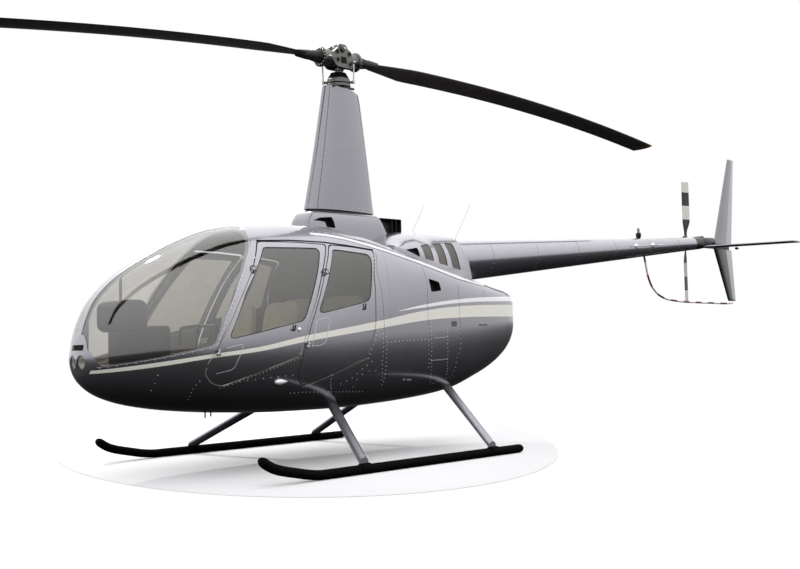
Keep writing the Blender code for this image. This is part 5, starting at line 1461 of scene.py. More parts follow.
@dataclass
class SkinDetails:
    """What lies on the pod's skin: windscreen strips, seams, rows of rivets, covers, lights and drains."""

    seams: tuple[Outline, ...] = (
        ((0.188, 1.655), (0.229, 1.500), (0.200, 1.300), (0.191, 1.179), (0.180, 0.900), (0.165, 0.640)),
        ((-0.304, 1.568), (-0.332, 1.449), (-0.329, 1.148), (-0.355, 0.860), (-0.400, 0.660)),
        ((-0.751, 1.427), (-0.757, 1.241), (-0.765, 1.000), (-0.745, 0.740)),
        ((-1.155, 1.394), (-1.161, 1.331)))
    rows: tuple[tuple[float, Outline], ...] = (
        (0.062, ((2.360, 0.808), (2.307, 0.817), (2.187, 0.839), (1.995, 0.874), (1.788, 0.918),
                 (1.734, 0.928))),
        (0.034, ((0.197, 1.040), (0.198, 0.885), (0.205, 0.796), (0.163, 0.640))),
        (0.034, ((0.167, 1.017), (0.159, 0.795), (0.130, 0.600))),
        (0.034, ((0.218, 1.640), (0.258, 1.490), (0.228, 1.300), (0.215, 1.170))),
        (0.044, ((0.158, 0.934), (0.024, 0.946), (-0.330, 0.956))),
        (0.016, ((-0.420, 0.964), (-0.579, 0.972))),
        (0.016, ((-0.386, 0.778), (-0.601, 0.784))),
        (0.034, ((-0.369, 1.093), (-0.371, 0.942), (-0.386, 0.778), (-0.431, 0.659), (-0.487, 0.576))),
        (0.040, ((-0.332, 1.100), (-0.342, 0.873), (-0.368, 0.721))),
        (0.045, ((-0.290, 1.560), (-0.316, 1.449), (-0.313, 1.240))),
        (0.034, ((-0.584, 1.045), (-0.585, 0.897), (-0.614, 0.748), (-0.660, 0.650))),
        (0.034, ((-0.487, 0.576), (-0.568, 0.588), (-0.685, 0.613), (-0.754, 0.640))),
        (0.045, ((-0.757, 1.038), (-0.774, 0.875), (-0.739, 0.798), (-0.754, 0.640))),
        (0.060, ((1.494, 0.686), (1.313, 0.700), (1.073, 0.714))),
        (0.036, ((1.032, 0.579), (0.861, 0.579), (0.660, 0.571), (0.450, 0.560), (0.309, 0.553))),
        (0.030, ((0.701, 0.699), (0.701, 0.653), (0.646, 0.561))),
        (0.040, ((0.252, 1.030), (0.302, 0.945), (0.360, 0.815))),
        (0.055, ((0.314, 0.792), (0.405, 0.739), (0.485, 0.671), (0.589, 0.629))),
        (0.075, ((0.258, 0.719), (0.335, 0.717), (0.436, 0.674), (0.447, 0.598))),
        (0.040, ((1.778, 0.700), (1.796, 0.670), (1.800, 0.629), (1.786, 0.570))),
        (0.075, ((2.053, 0.750), (2.054, 0.726), (2.053, 0.644))))
    lamp: Outline = ((0.0, 0.0), (0.006, 0.012), (0.020, 0.020), (0.045, 0.0235),
                     (0.075, 0.016), (0.105, 0.004), (0.110, 0.0))
    seam_width: float = 0.0032
    seam_height: float = 0.0005
    post_width: float = 0.050
    post_height: float = 0.0030

    def build(self) -> None:
        """Make the strips, seams, rivets and fittings of both sides."""
        edge = np.asarray(offset_outline(WINDSCREEN, -0.011))
        pillar, sill = edge[5:10], edge[3:6]
        strip = POD.bead(pillar, 0.020, 0.0014) + POD.bead(sill, 0.006, 0.0016)
        x = np.linspace(2.402, 1.20, 90)
        spine = POD.top_point(np.stack([x, np.zeros_like(x)], -1))
        post = swept(spine, POD.normal(spine), bead_profile(self.post_width, self.post_height))
        piece("windscreen_edge_strips", strip.paired(), Finish.UPPER_PAINT)
        piece("windscreen_post_cover", post, Finish.UPPER_PAINT)
        screws = POD.row(pillar, 0.040, 0.004, 0.0014)
        piece("windscreen_strip_screws", screws.paired(), Finish.SEAM)
        lines = joined([POD.bead(path, self.seam_width, self.seam_height) for path in self.seams])
        piece("skin_lap_seams", lines.paired(), Finish.SEAM)
        dots = [POD.row(path, gap) for gap, path in self.rows]
        dots.append(POD.row(offset_outline(FRONT_DOOR, -0.013)[7:10], 0.030, 0.004))
        dots.append(POD.row(offset_outline(REAR_DOOR, -0.013)[6:9], 0.020, 0.004))
        dots.append(POD.row(((0.630, 1.690), (0.745, 1.489), (0.930, 1.090), (1.010, 0.870)), 0.045, 0.0035))
        dots.append(POD.row(((0.700, 1.835), (0.500, 1.815), (0.330, 1.780)), 0.060, 0.004))
        marks = joined(dots)
        piece("skin_rivets", marks.paired(), Finish.RIVET)
        self.build_fittings()

    def build_fittings(self) -> None:
        """Position lights, access covers, fuel drain pins and the static ports."""
        start = POD.side_point(np.array([[1.214, 0.669]]))[0] + np.array([0.0, 0.004, 0.0])
        body = lathe(self.lamp, start, (-1.0, 0.09, 0.02), 28)
        piece("position_light_bodies", body.paired(), Finish.CHROME)
        cover, oval, port, slit = (
            POD.patch(rounded_outline(quad, corner, steps), None, -proud, proud + 0.001, rows=4, bevel=bevel)
            for corner, steps, proud, bevel, quad in (
                (0.010, 4, 0.0015, 0.0006,
                 ((-0.641, 1.107), (-0.716, 1.107), (-0.714, 1.062), (-0.638, 1.057))),
                (0.007, 4, 0.0015, 0.0006,
                 ((-1.051, 1.080), (-1.192, 1.080), (-1.192, 1.066), (-1.051, 1.066))),
                (0.007, 4, 0.002, 0.0006,
                 ((-0.096, 0.640), (-0.112, 0.640), (-0.112, 0.624), (-0.096, 0.624))),
                (0.003, 3, 0.001, 0.0004,
                 ((-0.140, 0.632), (-0.200, 0.630), (-0.200, 0.622), (-0.140, 0.624)))))
        piece("access_covers", (cover + oval).paired(), Finish.STEEL)
        piece("fuel_drain_ports", (port + slit).paired(), Finish.CHROME)
        pins = [tube([(x, 0.10, 0.55), (x, 0.10, z)], 0.006, 10) for x, z in ((1.45, 0.405), (1.40, 0.412))]
        piece("belly_drain_pins", joined(pins), Finish.BLACK_PAINT)


# Cowling, mast, rotors, tail, gear and inside


@dataclass
class CowlSkin(Surface):
    """The engine cowling behind the mast: a flat top and rounded shoulders that fall to the pod."""

    front: float = -0.10
    back: float = -1.68
    tuck: float = 0.02
    drop: float = 0.12
    crown: Track = Track((
        (-0.10, 1.740), (-0.20, 1.810), (-0.32, 1.870), (-0.45, 1.900), (-0.69, 1.915), (-1.27, 1.895),
        (-1.70, 1.86)))
    flat: Track = Track(((-0.10, 0.16), (-0.69, 0.15), (-1.30, 0.10), (-1.70, 0.10)))
    foot: Track = Track((
        (-0.10, 0.560), (-0.40, 0.575), (-0.70, 0.500), (-1.00, 0.385), (-1.30, 0.285), (-1.70, 0.250)))
    power: Track = Track(((-0.10, 0.95), (-0.60, 0.95), (-1.00, 0.70), (-1.30, 0.50), (-1.70, 0.50)))

    def arc(self, x: Array, turn: Array) -> Array:
        """Left shoulder: y = flat + (foot - flat) cos^p a and z = skirt + (crown - skirt) sin^p a."""
        skirt = POD.top(x) - self.tuck
        y = self.flat(x) + (self.foot(x) - self.flat(x)) * np.clip(np.cos(turn), 0.0, 1.0) ** self.power(x)
        z = skirt + (self.crown(x) - skirt) * np.clip(np.sin(turn), 0.0, 1.0) ** self.power(x)
        return np.stack(np.broadcast_arrays(x, y, z), -1)

    def level(self, points: Array) -> Array:
        """The implicit function a^(2/p) + b^(2/p): a from flat to foot across, b from skirt to crown up."""
        x, y, z = np.moveaxis(points, -1, 0)
        skirt, n = POD.top(x) - self.tuck, 2.0 / self.power(x)
        a = np.clip((np.abs(y) - self.flat(x)) / (self.foot(x) - self.flat(x)), 0.0, None)
        b = np.clip((z - skirt) / (self.crown(x) - skirt), 0.0, None)
        return a ** n + b ** n

    def side_point(self, flat: Array) -> Array:
        """Left shoulder over (x, z): the angle whose sine to the power p gives the height."""
        x, z = np.moveaxis(flat, -1, 0)
        skirt = POD.top(x) - self.tuck
        share = np.clip((z - skirt) / (self.crown(x) - skirt), 0.0, 1.0)
        return self.arc(x, np.arcsin(share ** (1.0 / self.power(x))))

    def solid(self, stations: int = 150, points: int = 44) -> MeshData:
        """The closed solid under the skin, its skirt below the pod's top."""
        x = np.linspace(self.front, self.back, stations)
        left = self.arc(x[:, None], np.linspace(0.0, math.pi / 2.0, points)[None])
        foot = left[:, :1] - np.array([0.0, 0.0, self.drop])
        half = np.concatenate([foot, left], axis=1)
        other = half[:, ::-1] * np.array([1.0, -1.0, 1.0])
        return loft(np.concatenate([half, other], axis=1))


@dataclass
class BaseSkin(Surface):
    """The mast's base: a narrow upright housing on the roof, steep in front, sloping down behind."""

    front: float = 0.470
    back: float = -0.560
    depth: float = 0.10
    flare: float = 0.18
    square: float = 5.0
    crown: Track = Track((
        (0.470, 1.890), (0.445, 1.985), (0.390, 2.045), (-0.300, 2.055), (-0.345, 2.035), (-0.400, 1.960),
        (-0.460, 1.905), (-0.560, 1.880)))
    half: Track = Track((
        (0.470, 0.085), (0.440, 0.130), (0.350, 0.160), (0.00, 0.175), (-0.300, 0.165), (-0.450, 0.150),
        (-0.560, 0.130)))

    def arc(self, x: Array, turn: Array) -> Array:
        """Left side: y = half (1 + flare (1 - s)) cos^(2/n) a, and z rises by s = sin^(2/n) a of the way."""
        foot = POD.top(x) - self.depth
        c, s = np.clip(np.cos(turn), 0.0, 1.0), np.clip(np.sin(turn), 0.0, 1.0)
        rise = s ** (2.0 / self.square)
        y = self.half(x) * (1.0 + self.flare * (1.0 - rise)) * c ** (2.0 / self.square)
        return np.stack(np.broadcast_arrays(x, y, foot + (self.crown(x) - foot) * rise), -1)

    def level(self, points: Array) -> Array:
        """The implicit function |y / w|^n + s^n: s is the height's share and w = half (1 + flare (1 - s))."""
        x, y, z = np.moveaxis(points, -1, 0)
        foot = POD.top(x) - self.depth
        s = np.clip((z - foot) / (self.crown(x) - foot), 0.0, None)
        w = self.half(x) * (1.0 + self.flare * (1.0 - np.clip(s, 0.0, 1.0)))
        return (np.abs(y) / w) ** self.square + s ** self.square

    def side_point(self, flat: Array) -> Array:
        """Left side over (x, z): the angle whose sine to the power 2/n gives the height's share."""
        x, z = np.moveaxis(flat, -1, 0)
        foot = POD.top(x) - self.depth
        share = np.clip((z - foot) / (self.crown(x) - foot), 0.0, 1.0)
        return self.arc(x, np.arcsin(share ** (self.square / 2.0)))

    def solid(self, stations: int = 120, points: int = 40) -> MeshData:
        """The closed solid under the skin; stations bunch towards both ends by a cosine law."""
        share = (1.0 - np.cos(np.linspace(0.0, math.pi, stations))) / 2.0
        x = self.front + (self.back - self.front) * share
        half = self.arc(x[:, None], np.linspace(0.0, math.pi / 2.0, points)[None])
        other = half[:, ::-1] * np.array([1.0, -1.0, 1.0])
        return loft(np.concatenate([half, other[:, 1:]], axis=1))


BASE = BaseSkin()
COWL = CowlSkin()


@dataclass
class Cowling:
    """Engine cowling and mast base: skins, intakes, outlet box, vents and mesh louvres, trim."""

    rear_cut: Outline = ((-1.06, 1.98), (-1.15, 1.85), (-1.29, 1.667), (-1.335, 1.50), (-1.335, 1.20),
                         (-2.00, 1.20), (-2.00, 2.10))
    louvres: tuple[Outline, ...] = (
        ((-0.422, 1.758), (-0.569, 1.777), (-0.586, 1.626), (-0.443, 1.638)),
        ((-0.654, 1.787), (-0.806, 1.803), (-0.851, 1.600), (-0.680, 1.613)),
        ((-0.876, 1.812), (-1.031, 1.823), (-1.125, 1.578), (-0.952, 1.589)))
    vent: Outline = ((-0.221, 1.708), (-0.369, 1.734), (-0.381, 1.652))
    intake: Outline = ((0.424, 1.956), (0.363, 1.982), (0.236, 1.996), (0.222, 1.952), (0.215, 1.900),
                       (0.308, 1.903), (0.298, 1.946))
    box_low: Point = (-0.60, -0.12, 1.880)
    box_high: Point = (-0.35, 0.12, 2.030)

    def build(self) -> None:
        """Make the skins with their pockets, then what is set in and on them."""
        skin = raw_object("cowling_skin", COWL.solid())
        cut = np.array(self.rear_cut)
        carve(skin, loft(np.stack([np.stack([cut[:, 0], np.full(len(cut), y), cut[:, 1]], -1)
                                   for y in (1.0, -1.0)])))
        linings = [COWL.opening(skin, rounded_outline(self.vent, 0.012, 3), 0.035, tuple(Side))]
        meshes = []
        for quad in self.louvres:
            line = rounded_outline(quad, 0.022, 5)
            tool = COWL.patch(line, None, -0.03, 0.044, rows=5)
            carve(skin, tool.paired())
            plate = COWL.patch(np.asarray(offset_outline(line, 0.0006)), None, 0.006, 0.006, rows=6)
            meshes += [plate, plate.mirrored()]
        finish_object(skin, Finish.UPPER_PAINT, Body.AIRFRAME.value, ("engine_cowling",), sharp=40.0)
        base = raw_object("mast_base_skin", BASE.solid())
        linings.append(BASE.opening(base, rounded_outline(self.intake, 0.012, 4), 0.060, tuple(Side)))
        finish_object(base, Finish.MAST_PAINT, Body.AIRFRAME.value, sharp=40.0)
        # Near-black linings in the vent and intakes as painted shade
        piece("cowling_opening_linings", joined(linings), Finish.VOID)
        piece("louvre_mesh_panels", joined(meshes), Finish.MESH)
        self.build_air_box()
        self.build_trim()

    def build_air_box(self) -> None:
        """Open-sided box behind the mast's base: top, back and a narrow core, dark inside."""
        (x0, y0, z0), (x1, y1, z1) = self.box_low, self.box_high
        sheet = 0.008
        parts = [superbox((x0, y0, z1 - sheet), (x1, y1, z1), 0.003),
                 superbox((x0, y0, z0), (x0 + sheet, y1, z1), 0.003),
                 superbox((x0, -0.03, z0), (x1, 0.03, z1 - sheet / 2), 0.003)]
        bars = [superbox((x, y, z0), (x + 0.006, y + 0.006, z1 - 0.004), 0.002)
                for x in (x0 + 0.05, x0 + 0.10) for y in (y0 + 0.012, y1 - 0.018)]
        piece("outlet_box_behind_mast", joined(parts + bars), Finish.BLACK_PAINT)

    def build_trim(self) -> None:
        """Rounded trim along each shoulder of the pod, and the drip rail over the doors."""
        line = ((0.700, 1.802), (0.575, 1.793), (0.424, 1.768), (0.260, 1.729), (0.169, 1.706),
                (-0.323, 1.590), (-0.788, 1.482), (-1.196, 1.430))
        rail = ((1.205, 1.724), (0.932, 1.735), (0.646, 1.730), (0.202, 1.682))
        trim = POD.bead(line, 0.036, 0.008)
        drip = POD.bead(rail, 0.007, 0.007)
        # The shoulder bead is real; its near-white colour is painted highlight
        piece("shoulder_trim", trim.paired(), Finish.LIGHT_TRIM)
        piece("door_drip_rails", drip.paired(), Finish.RUBBER)


@dataclass
class Mast:
    """Streamlined fairing round the mast with its collar and seams."""

    front: Track = Track(((2.068, 0.39), (2.60, 0.275), (3.15, 0.17)))
    back: Track = Track(((2.068, -0.37), (2.60, -0.30), (3.15, -0.22)))
    half: Track = Track(((2.068, 0.105), (2.60, 0.088), (3.15, 0.070)))
    low: float = 2.0683
    high: float = 3.150
    strip: float = 0.12

    def ring(self, z: Array, turn: Array, grow: float = 0.0) -> Array:
        """Section: x runs between back and front by cos a, and y = half (1 + cos a / 4) sin a."""
        front, back, half = self.front(z) + grow, self.back(z) - grow, self.half(z) + grow
        x = (front + back) / 2.0 + (front - back) / 2.0 * np.cos(turn)
        y = half * (1.0 + 0.25 * np.cos(turn)) * np.sin(turn)
        return np.stack(np.broadcast_arrays(x, y, z), -1)

    def slope(self, points: Array) -> Array:
        """Lower the top towards the back: z falls from the shaft aft by a third of the way."""
        out = points.copy()
        depth, start, length, fall = 0.10, 0.02, 0.24, 0.045
        near = np.clip((out[..., 2] - (self.high - depth)) / depth, 0.0, 1.0)
        aft = np.clip((start - out[..., 0]) / length, 0.0, 1.0)
        out[..., 2] -= near * fall * aft ** 1.5
        return out

    def build(self) -> None:
        """Fairing, collar, seams and rivets."""
        turn = full_turn(96)
        z = np.concatenate([np.linspace(self.low, self.high - 0.006, 60), [self.high - 0.002, self.high]])
        rings = self.ring(z[:, None], turn[None])
        top = rings[-1].mean(0)
        rings[-1] = top + (rings[-1] - top) * np.array([0.96, 0.9, 1.0])
        piece("mast_fairing_skin", loft(self.slope(rings)), Finish.MAST_PAINT, replaces=("mast_fairing",))
        levels = ((2.000, -0.012), (2.010, -0.012), (2.062, -0.012), (2.068, -0.016))
        collar = np.stack([self.ring(np.full(len(turn), self.low), turn, grow) * np.array([1, 1, 0]) + UP * z
                           for z, grow in levels])
        piece("mast_collar_seal", loft(collar), Finish.BLACK_PAINT, replaces=("mast_collar",))
        self.build_seams(turn)

    def edge(self, angle: float, low: float, high: float, spacing: float) -> tuple[Array, Array]:
        """Upright line on the fairing at a section angle, with its normals."""
        z = np.linspace(low, high, max(2, int((high - low) / spacing) + 1))
        here = self.ring(z, np.full_like(z, angle))
        ahead = self.ring(z, np.full_like(z, angle + 0.01)) - here
        up = self.ring(z + 0.01, np.full_like(z, angle)) - here
        return here, normed(np.cross(ahead, up))

    def build_seams(self, turn: Array) -> None:
        """Upright seam behind the leading strip, and rows of rivets round the foot and the middle."""
        seams, dots = [], []
        for sign in (1.0, -1.0):
            points, normals = self.edge(0.62 * sign, self.low + 0.004, self.high - 0.01, 0.02)
            seams.append(swept(points, normals, bead_profile(0.004, 0.0006, 3)))
            dots += [self.edge(angle * sign, self.low + 0.05, self.high - 0.05, 0.060)
                     for angle in (0.70, 0.54)]
        for z in (self.low + 0.030, 2.64):
            ring = self.ring(np.full_like(turn, z), turn)[::3]
            ahead = np.roll(ring, -1, 0) - np.roll(ring, 1, 0)
            dots.append((ring, normed(np.cross(ahead, UP))))
        piece("mast_fairing_seams", joined(seams), Finish.SEAM)
        piece("mast_fairing_rivets", rivets(*map(np.concatenate, zip(*dots))), Finish.RIVET)


def aerofoil(count: int = 24) -> Array:
    """Symmetric section of chord 1 and thickness 1 as (ahead, up) pairs about 27% chord, leading edge ahead.

    Half thickness is 5 (0.2969 sqrt c - 0.126 c - 0.3516 c^2 + 0.2843 c^3 - 0.1036 c^4).
    """
    c = (1.0 - np.cos(np.linspace(0.0, math.pi, count))) / 2.0
    half = 5.0 * (0.2969 * np.sqrt(c) - 0.126 * c - 0.3516 * c ** 2 + 0.2843 * c ** 3 - 0.1036 * c ** 4)
    ahead = np.concatenate([c, c[-2:0:-1]])
    up = np.concatenate([half, -half[-2:0:-1]])
    return np.stack([0.27 - ahead, up], -1)


def wing(centres: Array, chords: Array, thickness: Array, pitch: Array, ahead: Sequence[float],
         up: Sequence[float]) -> MeshData:
    """A lofted wing: aerofoil sections set at centres, scaled by chord and turned by pitch.

    Args:
        centres: Points at 27% chord, shape (stations, 3).
        chords: Chord at each station.
        thickness: Thickness over chord at each station.
        pitch: Nose-up angle in radians at each station.
        ahead: Direction of the leading edge.
        up: Direction of the upper side.

    Returns:
        The closed mesh.
    """
    section = aerofoil()
    a, u = np.asarray(ahead, float), np.asarray(up, float)
    c, s = np.cos(pitch)[:, None], np.sin(pitch)[:, None]
    along = section[None, :, 0] * chords[:, None]
    rise = section[None, :, 1] * (chords * thickness)[:, None]
    forward, lift = along * c - rise * s, along * s + rise * c
    return loft(np.asarray(centres)[:, None] + forward[..., None] * a + lift[..., None] * u)


def tip_shares(count: int = 8) -> tuple[Array, Array]:
    """Stations in the last hundredth of a span and the scale of their sections, for a rounded tip."""
    turn = np.linspace(0.0, math.pi / 2.0 * 0.97, count)
    return np.sin(turn), np.cos(turn)


@dataclass
class MainRotor:
    """Teetering two-blade rotor: shaft, hub with cheeks, bolts and barrels, links, swashplate and blades."""

    hub_z: float = 3.40
    azimuth: float = math.radians(182.2)
    teeter: float = 0.050
    droop: float = 0.0168
    radius: float = 5.03
    chord: float = 0.26
    root: float = 0.42
    thickness: float = 0.11
    cheek: float = 0.072
    shaft_z: float = 3.1506
    fixed_plate_z: float = 3.1503
    turning_plate_z: float = 3.1853
    boot_z: float = 3.2245
    link_low: Point = (-0.098, 0.090, 3.200)
    link_high: Point = (-0.100, 0.092, 3.375)
    driver: tuple[Point, Point] = ((0.03, 0.06, 3.29), (0.09, 0.10, 3.285))

    def __post_init__(self) -> None:
        """Work out the hub's own axes: along the blades, across them and up."""
        span = np.array([math.cos(self.azimuth), math.sin(self.azimuth), 0.0])
        along = normed(np.array([span[0], span[1], self.teeter]))
        across = normed(np.cross(UP, along))
        self.span = span
        axes = (along, across, np.cross(along, across))
        self.frame = Frame((0.0, 0.0, self.hub_z), tuple(tuple(axis) for axis in axes))

    def build(self) -> None:
        """Make every piece of the rotor."""
        self.build_blades()
        self.build_hub()
        self.build_swashplate()

    @staticmethod
    def beside_blade(spot: Point, sign: float) -> Array:
        """A point beside the aft blade, or turned half round the shaft to the fore one, by the sign."""
        return np.array([spot[0] * sign, spot[1] * sign, spot[2]])

    def line(self, r: Array, sign: float) -> Array:
        """Blade axis: hub centre + span r, raised by teeter r and lowered by droop r^2."""
        r = np.asarray(r, float)
        z = self.hub_z + self.teeter * sign * r - self.droop * r * r
        return np.stack([self.span[0] * sign * r, self.span[1] * sign * r, z], -1)

    def build_blades(self) -> None:
        """Blades with tapered roots, rounded tips and painted tip caps."""
        across = np.asarray(self.frame.axes[1])
        share, shrink = tip_shares()
        tip, full, narrow, taper, blunt = 0.10, 0.92, 0.45, 0.50, 0.35
        for sign, word in ((1.0, "aft"), (-1.0, "fore")):
            r = np.concatenate([np.linspace(self.root, 0.85, 16), np.linspace(0.90, self.radius - tip, 46)])
            chord = self.chord * np.clip(narrow + (1.0 - narrow) * (r - self.root) / taper, narrow, 1.0)
            thick = np.where(r < full, self.thickness + 0.10 * (full - r), self.thickness)
            blade = wing(self.line(r, sign), chord, thick, self.pitch(r, sign), across * -sign, UP)
            piece(f"main_blade_skin_{word}", blade, Finish.BLADE_PAINT, Body.MAIN_ROTOR,
                  (f"main_blade_{word}",), sharp=50.0)
            r = np.concatenate([[self.radius - tip], self.radius - tip * 0.12 * (1.0 - share)])
            scale = np.concatenate([[1.0], blunt + (1.0 - blunt) * shrink])
            cap = wing(self.line(r, sign), self.chord * scale, np.full(len(r), self.thickness),
                       self.pitch(r, sign), across * -sign, UP)
            piece(f"main_blade_tip_{word}", cap, Finish.OCHRE, Body.MAIN_ROTOR, sharp=50.0)
            self.build_grip(sign, word)

    def pitch(self, r: Array, sign: float) -> Array:
        """Nose-up angle along a blade, as the parked controls leave it: start and twist in degrees."""
        start, twist = (12.0, 6.0) if sign > 0 else (2.0, 1.8)
        return np.radians(start) - np.radians(twist) * r / self.radius

    def build_grip(self, sign: float, word: str) -> None:
        """Cuff of a blade: rubber boot over the spindle and a tapered fitting to the blade's root."""
        axis = self.frame.vector(sign, 0, 0)
        start = self.frame.point(0.205 * sign, 0, 0)
        profile = ((0.0, 0.055), (0.010, 0.055), (0.018, 0.047), (0.030, 0.052), (0.040, 0.045),
                   (0.052, 0.050), (0.064, 0.044), (0.080, 0.048), (0.100, 0.042), (0.16, 0.040),
                   (0.26, 0.030), (0.30, 0.0))
        piece(f"blade_grip_boot_{word}", lathe(profile, start, axis, 36), Finish.RUBBER, Body.MAIN_ROTOR)

    def build_hub(self) -> None:
        """Shaft, central block between two cheek plates, bolts, barrels with bolted flanges, and horns."""
        f = self.frame
        steel, dark, bright = [], [], []
        outline = rounded_outline(((-0.110, 0.050), (-0.055, 0.085), (-0.045, 0.122), (0.040, 0.122),
                                   (0.055, 0.085), (0.100, 0.065), (0.113, -0.030), (0.098, -0.088),
                                   (-0.075, -0.080), (-0.112, -0.045)), 0.018, 5)
        for t0, t1, inset in ((-0.045, 0.045, 0.014), (0.042, 0.072, 0.0), (-0.072, -0.042, 0.0)):
            line = np.asarray(offset_outline(outline, inset))
            small = np.asarray(offset_outline(outline, inset + 0.003))
            edges = ((small, t0), (line, t0 + 0.003), (line, t1 - 0.003), (small, t1))
            rings = np.stack([np.stack([o[:, 0], np.full(len(o), t), o[:, 1]], -1) for o, t in edges])
            steel.append(f.mesh(loft(rings)))
        for side in (1.0, -1.0):
            face, out = self.cheek * side, f.vector(0, side, 0)
            for s, u, r in ((-0.068, 0.050, 0.019), (0.068, 0.040, 0.019), (-0.066, -0.020, 0.020),
                            (0.075, -0.050, 0.012)):
                ring = ((-0.004, r + 0.006), (0.003, r + 0.006), (0.003, r), (-0.002, r))
                steel.append(lathe(ring, f.point(s, face, u), out, 20))
                cup = ((0.0, r * 0.96), (0.0025, r * 0.9), (0.0005, r * 0.5))
                dark.append(lathe(cup, f.point(s, face, u), out, 16))
            spot = f.point(0.0, face, 0.080)
            bolt = ((0.0, 0.034), (0.006, 0.034), (0.006, 0.028), (0.018, 0.026), (0.020, 0.018))
            steel.append(lathe(bolt, spot, out, 24))
            bright.append(lathe(((0.0, 0.013), (0.026, 0.013), (0.028, 0.010)), spot, out, 6))
            slot = superbox((-0.030, -0.0015, -0.045), (0.036, 0.0015, 0.012), 0.0012)
            dark.append(f.mesh(MeshData(slot.points + [0, face, 0], slot.quads, slot.tris)))
            self.add_barrel(side, steel, bright)
        cap = ((0.0, 0.036), (0.022, 0.036), (0.028, 0.030), (0.0285, 0.0))
        steel.append(lathe(cap, (0.0, 0.0, self.hub_z + 0.1015), UP, 28))
        steel.append(lathe(((0.0, 0.031), (0.175, 0.031)), (0, 0, self.shaft_z), UP, 24))
        piece("rotor_hub_castings", joined(steel), Finish.STEEL, Body.MAIN_ROTOR, ("rotor_hub",), sharp=30.0)
        # Near-black cups in the bolt holes and slots in the cheeks as painted shade
        piece("rotor_hub_recesses", joined(dark), Finish.VOID, Body.MAIN_ROTOR)
        piece("rotor_hub_bolts", joined(bright), Finish.ALUMINIUM, Body.MAIN_ROTOR, sharp=30.0)

    def add_barrel(self, sign: float, steel: list[MeshData], bright: list[MeshData]) -> None:
        """Bearing barrel of one blade with its flange, a ring of bolts, and the pitch horn."""
        f = self.frame
        barrel = ((0.0, 0.060), (0.010, 0.071), (0.050, 0.073), (0.062, 0.069), (0.092, 0.071),
                  (0.096, 0.083), (0.112, 0.084), (0.116, 0.078))
        steel.append(lathe(barrel, f.point(0.095 * sign, 0, 0), f.vector(sign, 0, 0), 40))
        head, circle = ((0.0, 0.0075), (0.010, 0.0075), (0.012, 0.005)), 0.070
        for a in full_turn(16):
            spot = f.point(0.210 * sign, circle * math.cos(a), circle * math.sin(a))
            bright.append(lathe(head, spot, f.vector(sign, 0, 0), 6))
        link_top = self.beside_blade(self.link_high, sign)
        horn = [f.point(0.165 * sign, 0.045 * sign, 0.0), f.point(0.150 * sign, 0.085 * sign, -0.004),
                link_top]
        bright.append(tube(rounded_path(horn, 0.03), np.array(0.014), 12))
        bright.append(lathe(((-0.014, 0.014), (0.014, 0.014)), link_top, f.vector(1, 0, 0), 16))

    def build_swashplate(self) -> None:
        """Fixed and turning plates, ribbed boot, arms and pitch links."""
        fixed = ((0.0, 0.034), (0.0, 0.100), (0.006, 0.105), (0.026, 0.105), (0.030, 0.100), (0.030, 0.034))
        ring = self.hoop(fixed, self.fixed_plate_z)
        horns = [tube([(r * math.cos(a), r * math.sin(a), z) for r, z in ((0.08, 3.158), (0.142, 3.150))],
                      0.011, 12) for a in np.radians((38, 158, 278))]
        piece("swashplate_lower_ring", joined([ring, *horns]), Finish.STEEL, replaces=("swashplate_fixed",))
        upper = ((0.0, 0.033), (0.0, 0.094), (0.005, 0.099), (0.034, 0.099), (0.039, 0.094), (0.039, 0.033))
        parts = [self.hoop(upper, self.turning_plate_z)]
        boot = [(0.0, 0.032), (0.0, 0.094)]
        for i in range(4):
            boot += [(0.006 + 0.011 * i, 0.094 - 0.006 * i), (0.0115 + 0.011 * i, 0.080 - 0.006 * i)]
        boot += [(0.052, 0.070), (0.052, 0.032)]
        piece("swashplate_rubber_boot", self.hoop(boot, self.boot_z), Finish.RUBBER, Body.MAIN_ROTOR)
        links = []
        for sign in (1.0, -1.0):
            low, high = self.beside_blade(self.link_low, sign), self.beside_blade(self.link_high, sign)
            parts.append(tube([low * [0.6, 0.6, 1.0], low], 0.012, 12))
            links.append(tube([low, high], 0.0065, 12))
            links.append(tube([low + [0, 0, -0.012], low + [0, 0, 0.014]], 0.012, 14))
            parts.append(tube([self.beside_blade(spot, sign) for spot in self.driver], 0.009, 10))
        piece("swashplate_upper_ring", joined(parts), Finish.STEEL, Body.MAIN_ROTOR, ("swashplate_turning",))
        piece("pitch_link_rods", joined(links), Finish.ALUMINIUM, Body.MAIN_ROTOR)

    @staticmethod
    def hoop(profile: Outline, base: float, sides: int = 56) -> MeshData:
        """A ring turned round the shaft from (height, radius) pairs that form a closed section."""
        height, radius = np.asarray(profile, float).T[:, None]
        turn = full_turn(sides)[:, None]
        x, y = radius * np.cos(turn), radius * np.sin(turn)
        return torus(np.stack(np.broadcast_arrays(x, y, base + height), -1))


